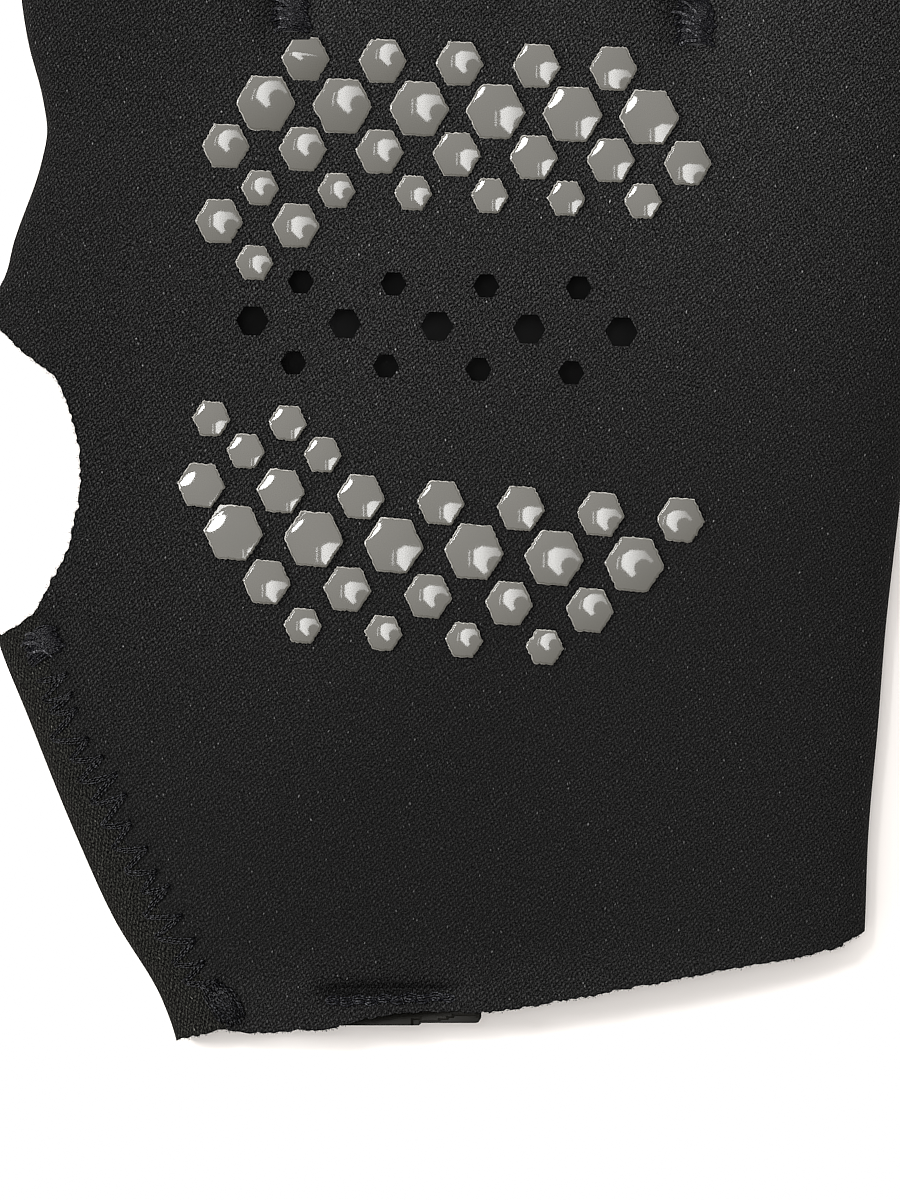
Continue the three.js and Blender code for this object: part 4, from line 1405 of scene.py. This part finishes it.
def tack_core(tack, material):
    """Low pad bridging the valley, that the threads of a bar tack close over."""
    core = TACK_CORE
    top = []
    for v in np.linspace(-1, 1, TACK_ROWS):
        sides = [palm_height(*tack_place(tack, side * core["beside"], v)) for side in (-1, 1)]
        for u in np.linspace(-1, 1, TACK_COLUMNS):
            x, y = tack_place(tack, core["width"] * u, core["length"] * v)
            bridge = sides[0] + (sides[1] - sides[0]) * (u + 1) / 2
            seat = palm_height(x, y)
            dome = (1 - u ** 4) * (1 - v ** 4)
            raised = core["bridge"] * max(bridge - seat, 0) + core["dome"] * dome - core["sink"]
            top.append((x, y, seat + raised))
    return slab(tack["name"] + "_core", TACK_ROWS, top, core["thickness"], material)


def tack_holes(tack, way, seed):
    """Needle holes to and fro across a tack, down its length."""
    ends = [tack_place(tack, 0, way["start"]), tack_place(tack, 0, way["end"])]
    return zigzag_holes(spaced(ends, way["pitch"]), tack["width"], seed, way["astray"])


def packed_holes(tack, number):
    """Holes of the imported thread, slanting and gathered on the side away from the thumb."""
    holes = tack_holes(tack, PACKED, number)
    low = tack_place(tack, 0, PACKED["end"])[1]
    holes[1::2, 1] = low + (holes[1::2, 1] - low) * PACKED["gather"]
    holes[:, 1] += (holes[:, 0] - tack["x"]) * math.sin(math.radians(tack["slant"]))
    return holes


def fan_holes(tack, number):
    """Ends of the paler loose strands: spread on the tack's thumb side, gathered past its middle."""
    holes = tack_holes(tack, FAN, FAN_HOLE_SEED + number)
    low = FAN["end"] * tack["length"] / 2
    far = holes[:, 0] > tack["x"]
    holes[far, 0] += (FAN["reach"] - 1) * tack["width"] / 2
    holes[far, 1] = tack["y"] + low + (holes[far, 1] - tack["y"] - low) * FAN["gather"]
    return holes


def bar_tacks(tree, packed, loose, shell):
    """Each bar tack as one piece: its core, its packed thread and its loose strands."""
    cores = [tack_core(tack, packed) for tack in TACKS]
    ground = joined("tack_ground", [copied(piece) for piece in [shell] + cores])
    for number, (tack, core) in enumerate(zip(TACKS, cores)):
        threads = grown("tack_threads", stitch_path(packed_holes(tack, number), PACKED["bows"]), tree,
                        Surface=ground, Seed=float(number), Material=packed, **TACK_THREAD)
        fan = grown("tack_fan", stitch_path(fan_holes(tack, number), FAN["bows"]), tree,
                    Surface=ground, Seed=FAN_SEED + number, Material=loose, **FAN_THREAD)
        piece = joined(tack["name"] + "_stitches", [threads, core, fan])
        finish_piece(piece, [tack["name"]])
    bpy.data.objects.remove(ground)


# Seams along the sides of the back
UNDER = dict(spacing=1.0, margin=1, pitch=1.27, width=3.5, astray=0.06, seed=20)


def palm_seams(tree, shell, thread, pale):
    """The zigzag, its tangled end and the paler row at the wrist, as one piece."""
    row = np.linspace(WRIST_ROW["start"], WRIST_ROW["end"], WRIST_ROW["stitches"])
    parts = []
    for name, holes, bows, seed, material, sizes in (
        ("zigzag", SEAM_HOLES, (-0.25, 0.0), 3.0, thread, SEAM_THREAD),
        ("zigzag_end", SEAM_END, (0.3, -0.2), 8.0, thread, END_THREAD),
        ("wrist_row", row, (0.12, -0.12), 5.0, pale, ROW_THREAD),
    ):
        parts.append(grown(name, stitch_path(holes, bows), tree, Surface=shell, Seed=seed,
                           Material=material, **sizes))
    finish_piece(joined("palm_stitches", parts), [])


def back_seams(tree, shell, thread):
    """One flat zigzag along each side of the back, on its underside."""
    y = np.arange(WRIST_Y, TIP_Y, UNDER["spacing"])
    margin = UNDER["margin"]
    left = y[(y > THUMB_HOLE_TOP + margin) & (y < STALL_ENDS[0]["y"] - margin)]
    right = y[(y > WRIST_AT_SEAM + margin) & (y < STALL_ENDS[-1]["y"] - margin)]
    lines = [
        np.column_stack([column_at(FOLDS, "left", left) + SEAM_INSET, left]),
        np.column_stack([column_at(FOLDS, "right", right) - SEAM_INSET, right]),
    ]
    parts = []
    for number, line in enumerate(lines):
        way = spaced(line, UNDER["pitch"])
        holes = zigzag_holes(way, UNDER["width"], UNDER["seed"] + number, UNDER["astray"])
        parts.append(grown("under_seam", stitch_path(holes), tree, Surface=shell, Side=-1.0,
                           Seed=float(number), Material=thread, **UNDER_THREAD))
    finish_piece(joined("back_stitches", parts), [])


FUZZ = dict(Gap=0.16, Length=0.3, Fibre=0.035, Scatter=0.1)
FUZZ_CLEAR = 0.3
FUZZ_DEPTHS = (0.15, 0.7)
FUZZ_SEEDS_AN_EDGE = 10


def edge_fibres(tree, material):
    """Fibres that the knife left standing along the cut wrist and thumb hole."""
    parts = []
    for number, edge in enumerate((wrist_edge(), thumb_edge())):
        inside = fold_distance(edge[:, 0], edge[:, 1]) > FUZZ_CLEAR
        x, y = edge[inside].T
        for low, share in enumerate(FUZZ_DEPTHS):
            path = path_object(np.column_stack([x, y, palm_top(x, y) - WALL * share]))
            seed = FUZZ_SEEDS_AN_EDGE * number + low
            parts.append(grown("fuzz", path, tree, Seed=seed, Material=material, **FUZZ))
    finish_piece(joined("edge_fibres", parts), [])


# Wrist tab
TAB_ROWS = 17
TAB_COLUMNS = 61
TAB_GATHER = 1.6
TAB_GAP = 0.1


def wrist_tab(material):
    """Small moulded strip under the palm's edge, its lower edge and rounded end showing."""
    step = TAB_STEP
    length = TAB["right"] - TAB["left"]
    top = []
    for v in np.linspace(0, 1, TAB_ROWS):
        for u in np.linspace(0, 1, TAB_COLUMNS):
            x = TAB["left"] + length * u
            cut = max(TAB["corner"] - min(u, 1 - u) * length, 0)
            bottom = TAB["bottom"] + TAB["corner"] - math.sqrt(TAB["corner"] ** 2 - cut ** 2)
            bottom += step["notch"] * (x > step["notch_from"])
            y = bottom + (TAB["top"] - bottom) * v ** TAB_GATHER
            along = np.clip((x - step["rise_from"]) / (step["rise_to"] - step["rise_from"]), 0, 1)
            lowered = step["depth"] * (x > step["x"] and y < step["y"] + step["rise"] * along)
            top.append((x, y, palm_height(x, y, WALL) - TAB_GAP - lowered))
    piece = slab("wrist_tab_strip", TAB_ROWS, top, TAB["thickness"], material)
    finish_piece(piece, ["wrist_tab"])


# Table, lights and look. Lamps are in metres, because they stand far from the glove.
FLOOR_HALF = 1500
LAMP_RISE = 1.5
CENTRE = (-0.0001, -0.0216)
MIRROR_UNIT = 2 * DOME_SLOPE * LAMP_RISE

# Outline of the overhead lamp's opening, in units that a grip's top mirrors as half its width
LAMP_OUTLINE = [(-0.7, -0.05), (-0.7, 0.42), (-0.45, 0.56), (0.1, 0.5), (0.4, 0.15), (-0.35, -0.4)]
LAMP_SHADE = dict(x=0.04, y=-0.08, radius=0.29)
LAMP_SLOT = dict(left=-0.86, right=-0.82, low=-0.12, high=0.4, softness=0.01, strength=0.9)
LAMP_SPAN = dict(left=-0.95, right=0.5, low=-0.45, high=0.6)
LAMP_FADE = dict(start=-0.5, end=0.15, least=0.3, softness=0.02)
LAMP_RADIANCE = 16
SIDE_LAMP = dict(place=(-0.595, 0.44, LAMP_RISE), size=(0.25, 0.22), radiance=30, shape="ELLIPSE")
SOFT_KEY = dict(place=(-1.2, 0.15, 0.92), size=(0.36, 0.36), radiance=40, shape="RECTANGLE")

# Even light of the room, and a pale stretch of ceiling that only gloss mirrors, as a soft slope
# of tone: the way that it lies in, and its reach from there as an angle in radians
ROOM = dict(colour=(1.0, 0.985, 0.97, 1), strength=1.12)
GLOW = dict(way=(-0.28, 0.28, 0.92), reach=0.65, room=0.2, peak=3.2)


def area_light(name, place, size, radiance, shape):
    """Lamp aimed at the glove, equally bright at any size and hidden from the camera."""
    data = bpy.data.lights.new(name, "AREA")
    data.shape = shape
    data.size, data.size_y = size
    data.energy = radiance * math.pi * size[0] * size[1]
    light = linked(name, data)
    light.location = place
    light.rotation_euler = (Vector((0, 0, 0)) - Vector(place)).to_track_quat("-Z", "Y").to_euler()
    light.visible_camera = False
    return light


def least(tree, values):
    """Smallest of several numbers."""
    smallest = values[0]
    for value in values[1:]:
        smallest = math_node(tree, "MINIMUM", smallest, value)
    return smallest


def inside_outline(tree, unit, outline):
    """How far inside an outline given clockwise a place is."""
    depths = []
    for (ax, ay), (bx, by) in zip(outline, outline[1:] + outline[:1]):
        length = math.hypot(bx - ax, by - ay)
        inward = ((by - ay) / length, -(bx - ax) / length, 0)
        along = vector_node(tree, "DOT_PRODUCT", unit, inward)
        depths.append(math_node(tree, "SUBTRACT", along, ax * inward[0] + ay * inward[1]))
    return least(tree, depths)


def lamp_pattern(tree, unit):
    """Strength of the overhead lamp: an opening less a round shade, fading, and a thin slot."""
    shade = vector_node(tree, "DISTANCE", unit, (LAMP_SHADE["x"], LAMP_SHADE["y"], 0))
    clear = math_node(tree, "SUBTRACT", shade, LAMP_SHADE["radius"])
    window = math_node(tree, "MINIMUM", inside_outline(tree, unit, LAMP_OUTLINE), clear)
    at = split(tree, unit)
    slot = least(tree, [
        math_node(tree, "SUBTRACT", at[0], LAMP_SLOT["left"]),
        math_node(tree, "SUBTRACT", LAMP_SLOT["right"], at[0]),
        math_node(tree, "SUBTRACT", at[1], LAMP_SLOT["low"]),
        math_node(tree, "SUBTRACT", LAMP_SLOT["high"], at[1]),
    ])
    soft = smooth_range(tree, window, 0.0, LAMP_FADE["softness"])
    fade = add(tree, "ShaderNodeMapRange", {
        "Value": at[0], "From Min": LAMP_FADE["start"], "From Max": LAMP_FADE["end"],
        "To Min": 1.0, "To Max": LAMP_FADE["least"]}).outputs[0]
    crisp = add(tree, "ShaderNodeMapRange", {
        "Value": slot, "From Max": LAMP_SLOT["softness"], "To Max": LAMP_SLOT["strength"]}).outputs[0]
    return math_node(tree, "ADD", math_node(tree, "MULTIPLY", soft, fade), crisp)


def overhead_lamp():
    """Soft lamp above the palm behind a cut-out card with a round shade in front."""
    span = LAMP_SPAN
    middle = ((span["left"] + span["right"]) / 2, (span["low"] + span["high"]) / 2)
    size = (span["right"] - span["left"], span["high"] - span["low"])
    place = [CENTRE[k] + middle[k] * MIRROR_UNIT for k in (0, 1)]
    lamp = area_light("overhead", (*place, LAMP_RISE), [s * MIRROR_UNIT for s in size],
                      LAMP_RADIANCE, "RECTANGLE")
    lamp.rotation_euler = (0, 0, 0)
    lamp.data.use_nodes = True
    tree = lamp.data.node_tree
    tree.nodes.clear()
    spot = add(tree, "ShaderNodeNewGeometry").outputs["Parametric"]
    unit = vector_node(tree, "MULTIPLY_ADD", spot, (*size, 0), (span["left"], span["low"], 0))
    shine = add(tree, "ShaderNodeEmission", {"Strength": lamp_pattern(tree, unit)})
    add(tree, "ShaderNodeOutputLight", {0: shine.outputs[0]})


def room_light(tree):
    """Even light for cloth and table; gloss shows a ceiling that brightens towards the side lamp."""
    way = add(tree, "ShaderNodeTexCoord").outputs["Generated"]
    near = vector_node(tree, "DOT_PRODUCT", way, tuple(Vector(GLOW["way"]).normalized()))
    glow = add(tree, "ShaderNodeMapRange", {
        "Value": near, "From Min": math.cos(GLOW["reach"]), "From Max": 1.0,
        "To Min": GLOW["room"], "To Max": GLOW["peak"]}).outputs[0]
    gloss = add(tree, "ShaderNodeLightPath").outputs["Is Glossy Ray"]
    return add(tree, "ShaderNodeMix", {
        0: gloss, 2: ROOM["strength"], 3: glow}, data_type="FLOAT").outputs[0]


def stage_and_lights():
    corners = [(x * FLOOR_HALF, y * FLOOR_HALF, 0) for x, y in ((-1, -1), (1, -1), (1, 1), (-1, 1))]
    mesh_object("floor", corners, [(0, 1, 2, 3)], [table_paint()])
    world = bpy.data.worlds.new("studio")
    bpy.context.scene.world = world
    world.use_nodes = True
    background = world.node_tree.nodes["Background"]
    background.inputs["Color"].default_value = ROOM["colour"]
    world.node_tree.links.new(room_light(world.node_tree), background.inputs["Strength"])
    overhead_lamp()
    area_light("side_lamp", **SIDE_LAMP)
    area_light("soft_key", **SOFT_KEY)
    bpy.context.scene.view_settings.view_transform = "Standard"


# A camera sharpens its picture a little, in the values that it shows
SHARPENING = 0.09
DISPLAY_GAMMA = 2.2


def within_white(tree, picture):
    return add(tree, "CompositorNodeMixRGB", {0: 0.0, 1: picture}, use_clamp=True).outputs[0]


def sharpened_picture():
    scene = bpy.context.scene
    scene.use_nodes = True
    tree = scene.node_tree
    tree.nodes.clear()
    picture = add(tree, "CompositorNodeRLayers").outputs["Image"]
    shown = add(tree, "CompositorNodeGamma", {
        0: within_white(tree, picture), 1: 1 / DISPLAY_GAMMA}).outputs[0]
    sharp = add(tree, "CompositorNodeFilter", {
        "Fac": SHARPENING, "Image": shown}, filter_type="SHARPEN").outputs[0]
    back = add(tree, "CompositorNodeGamma", {0: within_white(tree, sharp), 1: DISPLAY_GAMMA}).outputs[0]
    add(tree, "CompositorNodeComposite", {"Image": back})


# Build
def build():
    palm, back, shell = glove_walls()
    remove_scratch([palm, back, shell])
    for piece in (palm, back):
        smooth_shaded(piece)
    finish_piece(palm, ["palm_panel"])
    finish_piece(back, ["back_panel"])
    back.data.materials[0] = knit_jersey("knit_nylon_back", BACK_TURN, BACK_TONE, always_taut_and_lit=True)
    thread = sewing_thread("bonded_polyester_thread", "#0c0c0e", "#3b3c40")
    # Thread of the wrist row, painted paler as the glints along it
    pale = sewing_thread("rubbed_polyester_thread", "#16161a", "#56575b")
    packed = sewing_thread("packed_polyester_thread", "#131316", "#28282c")
    # Loose strands of the tack fans, painted pale as glints
    loose = sewing_thread("loose_polyester_thread", "#27272a", "#77777b")
    tree = thread_tree()
    bar_tacks(tree, packed, loose, shell)
    palm_seams(tree, shell, thread, pale)
    back_seams(tree, shell, thread)
    bpy.data.objects.remove(shell)
    edge_fibres(fuzz_tree(), CLOTH_MATERIALS[0])
    grip_rows(printed_silicone())
    wrist_tab(moulded_rubber())


CLOTH_MATERIALS = [knit_jersey("knit_nylon_jersey", 0, KNIT_TONE), foam_core(), lining()]
build()
stage_and_lights()
sharpened_picture()
